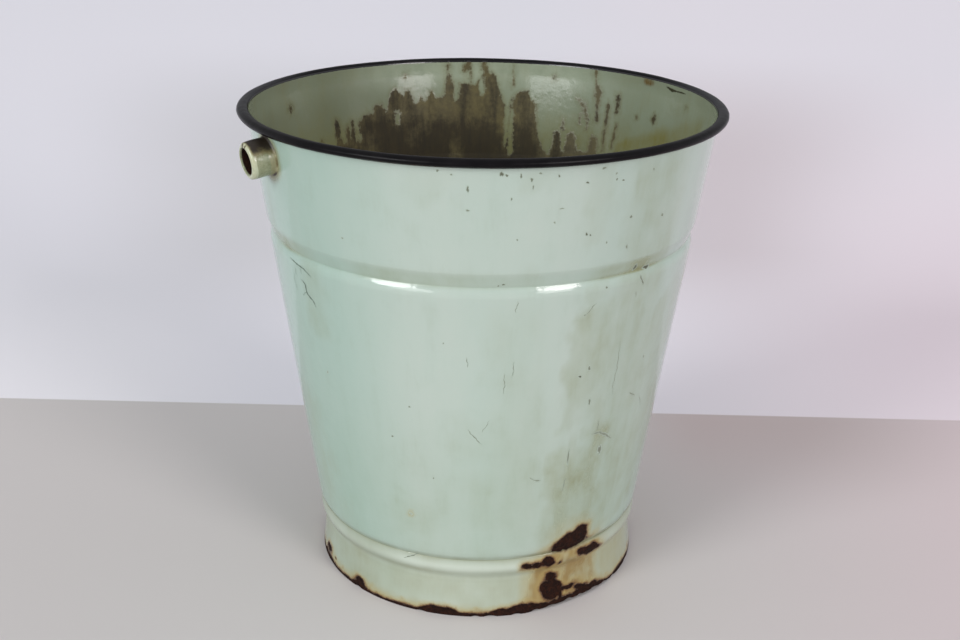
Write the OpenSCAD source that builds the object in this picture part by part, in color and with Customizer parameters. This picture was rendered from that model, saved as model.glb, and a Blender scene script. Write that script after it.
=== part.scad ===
// Enamelled sheet-steel pail: tapered body with a rolled rim and one pressed
// ring, a separate foot ring, and two short socket ears for a bail.
// Millimetres. +Z up, origin on the floor under the centre of the pail,
// ears on the X axis.

/* [Body] */
// Outside diameter over the rolled rim
rim_d = 290; // [270:1:310]
// Height from the floor to the top of the rolled rim
height = 292.5; // [285:0.5:305]
// Thickness of the enamelled sheet
sheet = 0.8; // [0.6:0.1:1.0]
// Outside diameter of the body where it leaves the foot ring
lower_d = 207.2; // [206:0.2:212]
// Outside diameter just above the pressed ring
upper_d = 260.6; // [258:0.2:264]
// Wall lean above the pressed ring, mm outwards for each mm of height
upper_lean = 0.15; // [0.12:0.01:0.16]

/* [Rolled rim] */
// Width of the hollow roll, from its inner to its outer side
roll_w = 7.0; // [6:0.1:8]
// Height of the hollow roll
roll_h = 4.8; // [4.2:0.1:6]
// How far round the sheet curls, from the inner side over the top
roll_turn = 302; // [260:2:310]

/* [Pressed ring] */
// Height of the ring's lower lip above the floor
ring_z = 215.4; // [190:0.2:223]
// Height from the lip to the bottom of the recess
ring_lip_h = 3.8; // [3.6:0.1:5]
// Height of the sloping face above the recess
ring_face_h = 8.6; // [6:0.1:12]
// Depth of the recess behind the lip
ring_depth = 1.8; // [1.2:0.1:2]
// Rounding of the lip
ring_round = 10; // [4:0.5:10]

/* [Foot ring] */
// Outside diameter of the foot ring at the floor
foot_d = 203.8; // [202:0.2:212]
// Outside diameter at the waist of the foot ring
waist_d = 199.2; // [196:0.2:200]
// Height of the waist above the floor
waist_z = 25; // [22:0.5:26]
// Height of the foot ring's top edge, where it laps over the body
collar_z = 39.3; // [38.5:0.1:41]
// Outside diameter at the fullest part of the collar
collar_d = 205.8; // [205:0.2:206.4]
// Height of the fullest part of the collar
collar_mid_z = 34.5; // [34:0.1:36]
// Underside of the body's bottom above the floor
bottom_z = 28.8; // [28.4:0.1:30]

/* [Rusted foot edge] */
// Direction of the middle of the eaten edge, degrees from +X
loss_dir = -83; // [-180:1:180]
// Greatest height that rust has taken off the edge
loss_h = 2.2; // [0.5:0.1:4]
// Length of edge that it reaches along
loss_len = 72; // [20:1:100]
// Size of the small bites in the edge, 1 as found
bite_size = 1; // [0.5:0.1:2]

/* [Ears] */
// Height of the ear's axis where it meets the wall
ear_z = 274.6; // [262:0.2:275]
// Outside diameter of the socket
ear_d = 21.2; // [18:0.2:21.4]
// Diameter of the hole in the socket
ear_bore_d = 15; // [10:0.5:16]
// How far the socket stands out from the wall
ear_len = 13.6; // [9:0.2:18]
// Rounding round the socket's mouth
ear_round = 2.2; // [1:0.1:2.2]
// Spread of the weld flare at the wall
ear_flare = 0.9; // [0.2:0.1:1]

/* [Hidden] */

$fn = 96;
mint = [0.70, 0.79, 0.74];
mint_foot = [0.69, 0.75, 0.69];
stained = [0.66, 0.63, 0.48];

// ---- path helpers: a path is a list of [radius, height] ----

function unit(v) = v / norm(v);
// Points of an arc that rounds the corner at b between a and c
function corner(a, b, c, r, n = 6) =
    let (u = unit(a - b), v = unit(c - b),
         turn = acos(max(-1, min(1, u * v))),
         d = r / tan(turn / 2),
         m = b + unit(u + v) * (r / sin(turn / 2)),
         p = b + u * d, q = b + v * d,
         a0 = atan2(p[1] - m[1], p[0] - m[0]),
         a1 = atan2(q[1] - m[1], q[0] - m[0]),
         da = (a1 - a0) > 180 ? a1 - a0 - 360
            : (a1 - a0) < -180 ? a1 - a0 + 360 : a1 - a0)
    [for (i = [0 : n]) m + r * [cos(a0 + da * i / n), sin(a0 + da * i / n)]];
// A path through points [radius, height, rounding]
function rounded(p) =
    [for (i = [0 : len(p) - 1])
        let (b = [p[i][0], p[i][1]])
        each (i == 0 || i == len(p) - 1 || p[i][2] == 0
            ? [b]
            : corner([p[i-1][0], p[i-1][1]], b, [p[i+1][0], p[i+1][1]],
                     p[i][2]))];
// A path moved sideways by t, to its left when t is positive
function side(a, b) = let (d = unit(b - a)) [-d[1], d[0]];
function offset_path(p, t) =
    [for (i = [0 : len(p) - 1])
        let (n0 = side(p[max(i - 1, 0)], p[max(i, 1)]),
             n1 = side(p[min(i, len(p) - 2)], p[min(i + 1, len(p) - 1)]),
             m = unit(n0 + n1))
        p[i] + m * (t / (m * n1))];
function reversed(p) = [for (i = [len(p) - 1 : -1 : 0]) p[i]];
// Points on an ellipse from angle a0 to a1
function ellipse(c, a, b, a0, a1, n) =
    [for (i = [0 : n]) let (s = a0 + (a1 - a0) * i / n)
        c + [a * cos(s), b * sin(s)]];

// ---- main radii and heights ----

rim_r = rim_d / 2;
lower_r = lower_d / 2;
upper_r = upper_d / 2;
roll_a = roll_w / 2;
roll_b = roll_h / 2;
roll_c = [rim_r - roll_a, height - roll_b];

// The seam is the surface where body and foot ring touch
seam_lo = [collar_d / 2 - sheet, collar_mid_z];
seam_hi = [collar_d / 2 - sheet - 0.5, collar_z];

ring_top_z = ring_z + ring_lip_h + ring_face_h;
lower_wall_z = collar_z + 2.7;
lip_r = upper_r - 1.6;
wall_top_z = height - 5.7;
function upper_wall_r(z) = upper_r + upper_lean * (z - ring_top_z);

// ---- body: one drawn sheet from the bottom to the rolled rim ----

// Outer side of the sheet, from the centre of the bottom to the wall's top
body_outer = rounded([
    [0, bottom_z, 0],
    [seam_lo[0], bottom_z, seam_lo[1] - bottom_z - 0.3],
    [seam_lo[0], seam_lo[1], 0],
    [seam_hi[0], seam_hi[1], 0],
    [lower_r, lower_wall_z, 1.6],
    [lip_r, ring_z, ring_round],
    [lip_r - ring_depth, ring_z + ring_lip_h, 0.9],
    [upper_r, ring_top_z, 6],
    [upper_wall_r(wall_top_z), wall_top_z, 0]]);

// The roll goes from the inner side, over the top and back under to the wall
roll_outside = ellipse(roll_c, roll_a, roll_b, 180, 180 - roll_turn, 30);
roll_inside = ellipse(roll_c, roll_a - sheet, roll_b - sheet,
                      180, 180 - roll_turn, 30);

module body() {
    color(mint)
        rotate_extrude()
            polygon(concat(
                body_outer, roll_inside, reversed(roll_outside),
                [for (q = reversed(offset_path(body_outer, sheet)))
                    [max(0, q[0]), q[1]]]));
}

// Solid that fills the upper wall out to its outer surface
module upper_wall_solid() {
    h = wall_top_z - ring_top_z;
    translate([0, 0, ring_top_z])
        cylinder(h = h, r1 = upper_r, r2 = upper_wall_r(wall_top_z));
}

// ---- foot ring: a collar over the body's end, a waist and a skirt ----

function ease(u) = u * u * (3 - 2 * u);
collar_r = collar_d / 2;
waist_r = waist_d / 2;
join_z = collar_mid_z - 1.2;
// Inner side of the sheet, from the floor to the collar's top edge
foot_inner = concat(
    [[foot_d / 2 - sheet, 0], [waist_r - sheet + 0.08, waist_z - 3]],
    [for (i = [0 : 10]) let (u = i / 10)
        [waist_r - sheet + (seam_lo[0] - waist_r + sheet) * ease(u),
         waist_z + (join_z - waist_z) * u]],
    [seam_lo, seam_hi]);

// Places where the edge has rusted away a little more: [degrees from the
// middle of the loss, radius of the bite, height that it takes off]
bites = [[-24, 7, 0.7], [-17, 4, 0.9], [-11, 9, 0.6], [-4, 5, 1.0],
         [1, 3, 0.7], [8, 8, 0.8], [14, 4, 0.7], [20, 6, 0.9],
         [-33, 9, 0.9], [-38, 4, 0.8], [-57, 8, 0.6], [-84, 6, 0.7],
         [33, 9, 0.6], [61, 7, 0.8], [97, 6, 0.5], [141, 8, 0.7],
         [-128, 7, 0.6]];

// The shallow loss is one wide arc under the edge
loss_r = (loss_len * loss_len / 4 + loss_h * loss_h) / (2 * loss_h);

// Height that the wide loss takes off at so many degrees from its middle
function loss_at(a) =
    let (x = foot_d / 2 * sin(a))
    abs(a) > 80 || abs(x) > loss_len / 2 ? 0
        : loss_h - loss_r + sqrt(loss_r * loss_r - x * x);

module through_edge(dir, r, z) {
    rotate([0, 0, dir])
        translate([foot_d / 2 - 14, 0, z])
            rotate([0, 90, 0])
                cylinder(h = 26, r = r, $fn = 48);
}

module foot_ring() {
    color(mint_foot)
        difference() {
            rotate_extrude()
                polygon(concat(
                    [for (q = offset_path(foot_inner, -sheet))
                        [q[0], q[1] < 0.5 ? 0 : q[1]]],
                    reversed(foot_inner)));
            through_edge(loss_dir, loss_r, loss_h - loss_r);
            for (b = bites)
                through_edge(loss_dir + b[0], b[1] * bite_size,
                             loss_at(b[0]) + (b[2] - b[1]) * bite_size);
        }
}

// ---- ears: short sockets, square to the wall, closed by it ----

ear_tilt = atan(upper_lean);
ear_r = ear_d / 2;
bore_r = ear_bore_d / 2;
ear_root = [upper_wall_r(ear_z), ear_z];
mouth_in = 0.8;
root_in = 0.8;
// Half section of the socket: [radius, distance out from the wall]. Its
// foot is spread inside as well as outside.
socket = concat(
    [[bore_r + root_in, -3], [bore_r + root_in, 0.3],
     [bore_r, 0.3 + root_in], [bore_r, ear_len - mouth_in]],
    corner([bore_r, 0], [bore_r, ear_len], [ear_r, ear_len], mouth_in),
    corner([bore_r, ear_len], [ear_r, ear_len], [ear_r, 0], ear_round, 8),
    corner([ear_r, ear_len], [ear_r, 0.9], [ear_r + ear_flare, 0],
           1.2, 4),
    [[ear_r + ear_flare, 0], [ear_r + ear_flare, -3]]);

module ear() {
    color(stained)
        difference() {
            translate([ear_root[0], 0, ear_root[1]])
                rotate([0, 90 + ear_tilt, 0])
                    rotate_extrude()
                        polygon(socket);
            upper_wall_solid();
        }
}

module ear_right() { ear(); }
module ear_left() { rotate([0, 0, 180]) ear(); }

body();
foot_ring();
ear_left();
ear_right();
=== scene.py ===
import math
import bpy
import numpy as np
from mathutils import Matrix


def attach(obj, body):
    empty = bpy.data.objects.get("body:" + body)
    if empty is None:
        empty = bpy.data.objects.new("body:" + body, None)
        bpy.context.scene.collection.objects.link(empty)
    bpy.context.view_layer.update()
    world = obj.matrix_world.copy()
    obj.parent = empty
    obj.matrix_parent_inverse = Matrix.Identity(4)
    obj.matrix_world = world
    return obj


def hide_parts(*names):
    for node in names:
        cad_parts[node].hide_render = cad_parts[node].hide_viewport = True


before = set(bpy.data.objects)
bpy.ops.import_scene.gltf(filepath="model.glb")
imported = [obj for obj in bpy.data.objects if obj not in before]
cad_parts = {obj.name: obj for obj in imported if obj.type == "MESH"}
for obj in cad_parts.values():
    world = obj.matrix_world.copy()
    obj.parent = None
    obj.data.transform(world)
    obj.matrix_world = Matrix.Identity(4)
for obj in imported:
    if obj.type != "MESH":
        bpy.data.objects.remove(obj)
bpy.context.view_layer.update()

# ---------------------------------------------------------------------------
# Sizes are millimetres until a mesh is written, which is in metres.
# "t" is an angle round the pail in degrees, 0 at the side that faces the
# camera and positive to its right; the row frame's polar angle is t - 121.
# ---------------------------------------------------------------------------
FRONT = 121.0
SHEET = 0.8


def wrap(t):
    return (t + 180.0) % 360.0 - 180.0


# ---- noise -----------------------------------------------------------------

def _hash(ix, iy, iz, seed):
    n = ix * 73856093 ^ iy * 19349663 ^ iz * 83492791 ^ (seed * 2654435761 & 0xFFFFFFF)
    n &= 0xFFFFFFFF
    n = ((n ^ (n >> 13)) * 1274126177) & 0xFFFFFFFF
    n = ((n ^ (n >> 16)) * 2246822519) & 0xFFFFFFFF
    n ^= n >> 15
    return (n & 0xFFFFFF) / float(0xFFFFFF) * 2.0 - 1.0


def vnoise(x, y, z, seed):
    """Value noise from -1 to 1, one lattice cell a unit."""
    x, y, z = np.broadcast_arrays(np.asarray(x, float), np.asarray(y, float), np.asarray(z, float))
    fx, fy, fz = np.floor(x), np.floor(y), np.floor(z)
    ix, iy, iz = fx.astype(np.int64), fy.astype(np.int64), fz.astype(np.int64)
    u, v, w = x - fx, y - fy, z - fz
    u, v, w = u * u * (3 - 2 * u), v * v * (3 - 2 * v), w * w * (3 - 2 * w)
    r = 0
    for a in (0, 1):
        for b in (0, 1):
            for c in (0, 1):
                k = (u if a else 1 - u) * (v if b else 1 - v) * (w if c else 1 - w)
                r = r + k * _hash(ix + a, iy + b, iz + c, seed)
    return r


def fbm(x, y, z, size, seed, octaves=4, gain=0.5):
    """Layered noise, about -1 to 1, with its largest features "size" mm."""
    total, amp, s, norm = 0, 1.0, 1.0 / size, 0.0
    for i in range(octaves):
        total = total + amp * vnoise(x * s + 7.3 * i, y * s - 3.1 * i, z * s + 1.7 * i, seed + i)
        norm += amp
        amp *= gain
        s *= 2.03
    return total / norm * 1.6


def ramp(x, a, b):
    """0 below a, 1 above b, smooth between."""
    u = np.clip((x - a) / (b - a), 0, 1)
    return u * u * (3 - 2 * u)


def ease(u):
    return u * u * (3 - 2 * u)


# ---- the sheet's section ----------------------------------------------------

def unit(v):
    return v / math.hypot(v[0], v[1])


def corner(a, b, c, r, n=8):
    a, b, c = np.array(a[:2], float), np.array(b[:2], float), np.array(c[:2], float)
    u, v = unit(a - b), unit(c - b)
    turn = math.acos(max(-1.0, min(1.0, float(u @ v))))
    d = r / math.tan(turn / 2)
    m = b + unit(u + v) * (r / math.sin(turn / 2))
    p, q = b + u * d, b + v * d
    a0 = math.atan2(p[1] - m[1], p[0] - m[0])
    a1 = math.atan2(q[1] - m[1], q[0] - m[0])
    da = (a1 - a0 + math.pi) % (2 * math.pi) - math.pi
    return [m + r * np.array([math.cos(a0 + da * i / n), math.sin(a0 + da * i / n)]) for i in range(n + 1)]


def rounded(p, n=8):
    out = []
    for i, b in enumerate(p):
        if i == 0 or i == len(p) - 1 or b[2] == 0:
            out.append(np.array(b[:2], float))
        else:
            out += corner(p[i - 1], b, p[i + 1], b[2], n)
    return np.array(out)


def offset_path(p, t):
    """The path moved to its left by t."""
    out = []
    for i in range(len(p)):
        a, b = p[max(i - 1, 0)], p[max(i, 1)]
        c, d = p[min(i, len(p) - 2)], p[min(i + 1, len(p) - 1)]
        n0, n1 = unit(b - a), unit(d - c)
        n0, n1 = np.array([-n0[1], n0[0]]), np.array([-n1[1], n1[0]])
        m = unit(n0 + n1)
        out.append(p[i] + m * (t / float(m @ n1)))
    return np.array(out)


def ellipse(c, a, b, a0, a1, n):
    s = np.radians(np.linspace(a0, a1, n + 1))
    return np.stack([c[0] + a * np.cos(s), c[1] + b * np.sin(s)], 1)


def resample(path, step):
    out = [path[0]]
    for a, b in zip(path[:-1], path[1:]):
        length = math.hypot(*(b - a))
        if length < 1e-6:
            continue
        m = (a + b) / 2
        n = max(1, math.ceil(length / step(m[0], m[1])))
        out += [a + (b - a) * i / n for i in range(1, n + 1)]
    return np.array(out)


SEAM_LO, SEAM_HI = (102.1, 34.5), (101.6, 39.3)
RING_TOP = 227.8
WALL_TOP = 286.8


def upper_r(z):
    return 130.3 + 0.15 * (z - RING_TOP)


BODY_OUT = rounded([(0, 28.8, 0), (102.1, 28.8, 5.4), SEAM_LO + (0,), SEAM_HI + (0,),
                    (103.6, 42.0, 1.6), (128.7, 215.4, 10), (126.9, 219.2, 0.9),
                    (130.3, 227.8, 6), (upper_r(WALL_TOP), WALL_TOP, 0)])
BODY_IN = offset_path(BODY_OUT, SHEET)
BODY_IN[:, 0] = np.maximum(BODY_IN[:, 0], 0)
ROLL_C = (141.5, 290.1)
# the enamel has run into the joint above the foot ring and fills it
FILLET = [(101.6, 39.3), (102.36, 39.46), (102.56, 40.0), (102.86, 40.8), (103.24, 41.6), (103.72, 42.6)]
OUTSIDE = np.vstack([BODY_OUT[BODY_OUT[:, 1] < 39.2], FILLET, BODY_OUT[BODY_OUT[:, 1] > 43.3]])

FOOT_IN = np.array([(101.1, 0), (98.88, 22)]
                   + [(98.8 + 3.3 * ease(i / 14), 25 + 8.3 * i / 14) for i in range(15)]
                   + [SEAM_LO, SEAM_HI], float)
FOOT_OUT = offset_path(FOOT_IN, -SHEET)
FOOT_OUT[0, 1] = 0


def wall_out(z):
    """Outer radius of the wall above the foot ring."""
    keep = BODY_OUT[:, 1] > 39.4
    return np.interp(z, BODY_OUT[keep, 1], BODY_OUT[keep, 0])


def wobble(t, z):
    """How far the hand-finished sheet is out of round: the same for both of its sides."""
    a = np.radians(t)
    k = ramp(z, 20, 120)
    return k * (0.22 * np.cos(2 * a + 0.7) + 0.13 * np.cos(3 * a - 1.1) + 0.07 * np.cos(5 * a + 2.0)
                + 0.05 * np.cos(9 * a + 0.4 + z * 0.006))


# ---- where rust, stains and dirt lie ------------------------------------------

def blob(t, z, t0, z0, a, b, rot=0.0, r=103.0):
    """About how far inside an oval a point lies, in mm. a and b are its half-axes."""
    x = np.radians(wrap(t - t0)) * r
    y = z - z0
    if rot:
        c, s = math.cos(math.radians(rot)), math.sin(math.radians(rot))
        x, y = x * c + y * s, -x * s + y * c
    return (1 - np.sqrt((x / a) ** 2 + (y / b) ** 2)) * min(a, b)


def union(parts, k=0.8):
    m = np.maximum.reduce(parts)
    return m + k * np.log(sum(np.exp((p - m) / k) for p in parts)) - k * 0.35


RUST = [  # t, z, half-axes, turn
    (28.4, 43.4, 5.0, 3.6, 14), (32.0, 45.6, 6.6, 6.0, 20), (36.6, 47.2, 6.2, 7.0, 0), (36.8, 51.8, 3.6, 3.0, 0),
    (33.0, 41.6, 11.5, 2.6, 2),
    (17.0, 32.8, 3.0, 2.6, 0), (20.6, 33.0, 4.0, 2.5, 0), (24.6, 33.4, 3.6, 3.4, 0), (25.6, 31.6, 2.4, 3.0, 0),
    (38.4, 34.2, 4.6, 2.2, -6), (42.0, 33.6, 6.0, 3.0, -6), (45.8, 31.8, 5.0, 2.2, -22), (42.5, 30.6, 4.5, 2.0, -14),
    (29.8, 31.4, 1.3, 1.5, 0), (27.2, 21.6, 4.4, 2.7, 0), (28.0, 17.6, 3.0, 3.0, 0),
    (25.0, 14.4, 5.0, 4.6, 0), (27.0, 10.6, 6.0, 5.4, -20), (28.6, 14.0, 3.6, 3.6, 0),
    (32.2, 10.6, 4.2, 1.1, 10), (35.0, 11.8, 2.6, 1.0, 4), (30.6, 7.4, 1.6, 3.0, 0),
    (39.6, 7.6, 5.0, 2.2, -10), (45.5, 4.6, 6.0, 1.8, -8),
    (-45.4, 4.5, 3.7, 2.3, 0), (-69.5, 7.2, 5.0, 2.4, 10),
    # the sides away from the camera
    (96, 6.5, 6.0, 3.2, 0), (104, 33.0, 4.6, 2.2, 0), (128, 5.5, 9.0, 4.0, 0), (151, 7.0, 5.0, 4.4, 0),
    (158, 41.8, 5.0, 2.2, 0), (176, 5.0, 12.0, 3.0, 0), (201, 9.0, 6.0, 5.0, 0), (204, 17.0, 3.0, 4.0, 0),
    (228, 5.0, 8.0, 3.2, 0), (236, 33.4, 5.0, 2.0, 0), (262, 6.0, 5.0, 3.2, 0)]
EDGE_T = [-180, -160, -140, -120, -100, -85, -76, -72, -66, -60, -50, -47, -43, -41, -34, -27, -21, -18, -15, -12.5,
          -10, -7.5, -6, -3, 0, 3, 4.5, 8, 11, 12.5, 15, 19, 22, 25, 30, 34, 38, 41, 45, 49, 53, 58, 62, 70, 76, 90,
          110, 130, 155, 180]
EDGE_H = [3.0, 2.2, 3.6, 2.4, 3.4, 2.6, 3.0, 3.6, 3.2, 1.8, 2.0, 3.4, 3.4, 1.8, 1.6, 1.9, 2.4, 4.2, 5.4, 4.6,
          5.2, 4.0, 2.8, 2.4, 2.4, 2.7, 3.2, 5.2, 4.6, 5.4, 6.9, 6.7, 5.2, 4.6, 4.4, 5.2, 6.4, 6.6, 5.4, 4.4, 2.6, 2.2,
          3.2, 3.0, 2.4, 3.4, 2.6, 3.6, 2.4, 3.0]


def loss(t):
    """Height that rust has taken off the foot ring's lower edge."""
    a = wrap(t - 38.0)
    x = 101.9 * np.sin(np.radians(a))
    big = (72.0 ** 2 / 4 + 2.2 ** 2) / 4.4
    wide = np.where((np.abs(a) < 80) & (np.abs(x) < 36), 2.2 - big + np.sqrt(np.maximum(big ** 2 - x ** 2, 0)), 0)
    out = wide
    for d, r, h in ((-24, 7, .7), (-17, 4, .9), (-11, 9, .6), (-4, 5, 1.0), (1, 3, .7), (8, 8, .8), (14, 4, .7),
                    (20, 6, .9), (-33, 9, .9), (-38, 4, .8), (-57, 8, .6), (-84, 6, .7), (33, 9, .6), (61, 7, .8),
                    (97, 6, .5), (141, 8, .7), (-128, 7, .6)):
        xx = np.radians(wrap(a - d)) * 101.9
        ad = 101.9 * math.sin(math.radians(d))
        w = max(0.0, 2.2 - big + math.sqrt(max(big ** 2 - ad ** 2, 0))) if abs(ad) < 36 and abs(d) < 80 else 0.0
        out = np.maximum(out, np.where(np.abs(xx) < r, w + h - r + np.sqrt(np.maximum(r * r - xx ** 2, 0)), 0))
    return out


def rust_at(t, z, x, y):
    """mm inside (positive) or outside the rust on the foot ring and the lower wall."""
    wt = fbm(x, y, z, 7.0, 11, 3) * 1.3
    wz = fbm(x, y, z, 6.0, 23, 3) * 1.0
    tt, zz = t + wt / 1.8, z + wz
    parts = [blob(tt, zz, *b) for b in RUST]
    edge = np.interp(wrap(tt), EDGE_T, EDGE_H) + 0.6 * fbm(x, y, z * 0.4, 5.0, 31, 3) - z
    parts.append(edge)
    # pinholes near the edge
    pin = fbm(x, y, z, 5.5, 47, 2)
    parts.append((pin - 0.95) * 4.0 - 1.2 * np.maximum(z - 6, 0) - 8 * np.exp(-((wrap(t) - 4.5) / 3.0) ** 2))
    return union(parts)


def soft(t, z, t0, z0, a, b, r=103.0):
    """A soft oval, 1 in the middle and 0 outside."""
    away = np.sqrt((np.radians(wrap(t - t0)) * r / a) ** 2 + ((z - z0) / b) ** 2)
    return ramp(1 - away, 0.0, 0.75)


def stroke(t, z, t0, z0, t1, z1, half, fade=12.0, r=112.0):
    """A soft run from (t0, z0) down to (t1, z1), half-width in degrees."""
    u = np.clip((z0 - z) / (z0 - z1), 0, 1)
    c = t0 + (t1 - t0) * u
    d = np.abs(wrap(t - c)) / half
    return ramp(-d, -1.25, -0.55) * ramp(z, z1 - fade, z1 + fade) * ramp(-z, -z0 - fade, -z0 + fade)


def patches(t, z, x, y, items, warp=1.0, seed=61):
    """Dried stains: irregular areas that are a little darker along their edges."""
    wt = warp * (6.5 * fbm(x, y, z * 0.8, 20.0, seed, 3) + 2.8 * fbm(x, y, z, 6.0, seed + 5, 3))
    wz = warp * (9.0 * fbm(x, y, z * 0.6, 26.0, seed + 11, 3) + 2.2 * fbm(x, y, z, 6.0, seed + 17, 3))
    out = np.zeros(t.shape)
    for t0, z0, a, b, k in items:
        px = np.radians(wrap(t - t0)) * (103 + 0.14 * (z - 42)) + wt
        pz = z - z0 + wz
        # a rounded box, longer than it is wide
        q = np.hypot(np.maximum(np.abs(px) - a * 0.45, 0), np.maximum(np.abs(pz) - b + a * 0.55, 0)) - a * 0.55
        v = k * (0.95 * ramp(-q, -3.0, 5.0) + 0.10 * np.exp(-(q / 1.6) ** 2))
        out = np.maximum(out, v)
    mottle = ramp(fbm(x, y, z * 0.5, 17.0, seed + 23, 4), -0.75, 0.45)
    return out * (1 - 0.42 * min(warp, 1.6) + 0.42 * min(warp, 1.6) * mottle)


FRONT_STAINS = [(31.5, 166, 15, 36, .44), (30.0, 210, 8, 9, .34), (32.0, 88, 19, 27, .42), (44.5, 187, 12, 18, .40),
                (37.5, 113, 8, 11, .72), (27.0, 137, 7, 10, .50), (34.5, 66, 19, 17, .38), (29.0, 98, 6, 18, .60),
                (37.0, 84, 8, 22, .58), (40.5, 256, 11, 30, .30),
                (27.5, 262, 8, 21, .22), (48.0, 250, 9, 30, .26), (13.0, 112, 12, 40, .16), (5.0, 84, 13, 22, .14),
                (38.5, 152, 5, 30, .40), (48.0, 120, 16, 70, .30), (60.0, 130, 18, 74, .24), (23.0, 60, 9, 14, .26),
                (-4.0, 128, 9, 16, .10), (-20.0, 66, 14, 14, .12), (12.0, 276, 10, 8, .16), (-11.0, 278, 10, 10, .12),
                (-47.0, 200, 9, 26, .26), (-66.0, 236, 8, 22, .22), (2.0, 175, 5, 14, .14), (-62.0, 90, 12, 40, .16)]
BACK_STAINS = [(80, 196, 16, 30, .34), (88, 128, 20, 50, .30), (99, 184, 18, 30, .40), (107, 120, 24, 34, .50),
               (114, 252, 17, 34, .42), (121, 66, 30, 24, .66), (133, 205, 14, 16, .34), (140, 252, 13, 26, .30),
               (148, 92, 22, 30, .32), (159, 196, 20, 24, .46), (165, 128, 24, 40, .50), (176, 62, 30, 20, .62),
               (188, 236, 12, 34, .32), (194, 150, 16, 30, .26), (205, 206, 22, 22, .44), (211, 150, 24, 44, .54),
               (219, 78, 28, 28, .58), (233, 214, 14, 26, .34), (238, 112, 24, 44, .36), (255, 176, 20, 46, .40),
               (262, 254, 16, 26, .28), (270, 84, 20, 30, .34)]


def grime_at(t, z, x, y):
    """Olive dirt on the outside of the wall, 0 to 1."""
    g = np.maximum(patches(t, z, x, y, FRONT_STAINS), patches(t, z, x, y, BACK_STAINS, 2.2, 261))
    w = fbm(x, y, z * 0.25, 16.0, 61, 3)
    tt = t + 1.6 * w
    for t0, z0, t1, z1, half, k in ((40.5, 214, 38.0, 150, 2.4, .34), (28.0, 117, 27.6, 82, 1.6, .50),
                                    (33.0, 205, 31.5, 150, 1.6, .30), (45.0, 285, 42.0, 60, 10.0, .27),
                                    (9.0, 210, 11.0, 60, 8.0, .12), (101, 222, 102, 60, 3, .36),
                                    (119, 262, 120, 45, 5, .40), (163, 222, 164, 42, 4, .36),
                                    (208, 222, 209, 90, 5, .42), (252, 222, 253, 60, 4, .34)):
        g = np.maximum(g, k * stroke(tt, z, t0, z0, t1, z1, half, 12))
    g = g * (0.78 + 0.40 * fbm(x, y, z * 0.6, 9.0, 71, 3))
    return np.clip(g, 0, 1)


def groove_at(t, z, x, y):
    """Dirt lying in the pressed ring, 0 to 1."""
    band = ramp(z, 217.4, 219.6) * ramp(-z, -230.0, -224.5)
    k = 0.10 + 0.18 * fbm(x, y, z * 0.3, 26.0, 81, 3)
    for t0, half, s in ((-61, 6, .46), (-54, 5, .28), (-20, 12, .06), (43, 5, .64), (36, 5, .22), (31, 6, .30), (50, 6, .25), (-45, 6, .1),
                        (110, 14, .2), (170, 20, .2), (240, 16, .2)):
        k = k + s * np.exp(-(wrap(t - t0) / half) ** 2)
    line = np.exp(-((z - 219.4) / 1.2) ** 2) * (0.15 + 0.6 * ramp(t, 22, 36) * ramp(-t, -75, -50))
    return np.clip(np.maximum(band * k, 0) + line * np.maximum(k, 0.25), 0, 1)


def ear_distance(t, z):
    """mm from the nearer ear's axis, measured on the wall."""
    d = None
    for t0 in (-59.0, 121.0):
        q = np.hypot(np.radians(wrap(t - t0)) * 137.3, z - 274.6)
        d = q if d is None else np.minimum(d, q)
    return d


# ---- mesh building ---------------------------------------------------------------

def ring_angles(step):
    ts = [-180.0]
    while True:
        n = ts[-1] + step(ts[-1])
        if n >= 180.0 - 0.4 * step(ts[-1]):
            break
        ts.append(n)
    return np.array(ts)


def make_object(name, verts, faces, material, attrs=None, smooth=True):
    me = bpy.data.meshes.new(name)
    me.from_pydata((np.asarray(verts) * 0.001).tolist(), [], faces)
    me.update()
    if smooth:
        me.polygons.foreach_set("use_smooth", [True] * len(me.polygons))
    for key, values in (attrs or {}).items():
        a = me.attributes.new(key, "FLOAT", "POINT")
        a.data.foreach_set("value", np.ascontiguousarray(values, dtype=np.float32).ravel())
    ob = bpy.data.objects.new(name, me)
    bpy.context.scene.collection.objects.link(ob)
    me.materials.append(material)
    return ob


def grid_faces(m, n, closed_path=False, flip=False):
    """Quads for m rows of n points, closed round the n direction."""
    i = np.arange(m if closed_path else m - 1)[:, None]
    j = np.arange(n)[None, :]
    i2, j2 = (i + 1) % m, (j + 1) % n
    q = np.stack([i * n + j, i * n + j2, i2 * n + j2, i2 * n + j], -1).reshape(-1, 4)
    if flip:
        q = q[:, ::-1]
    return q.tolist()


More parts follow.
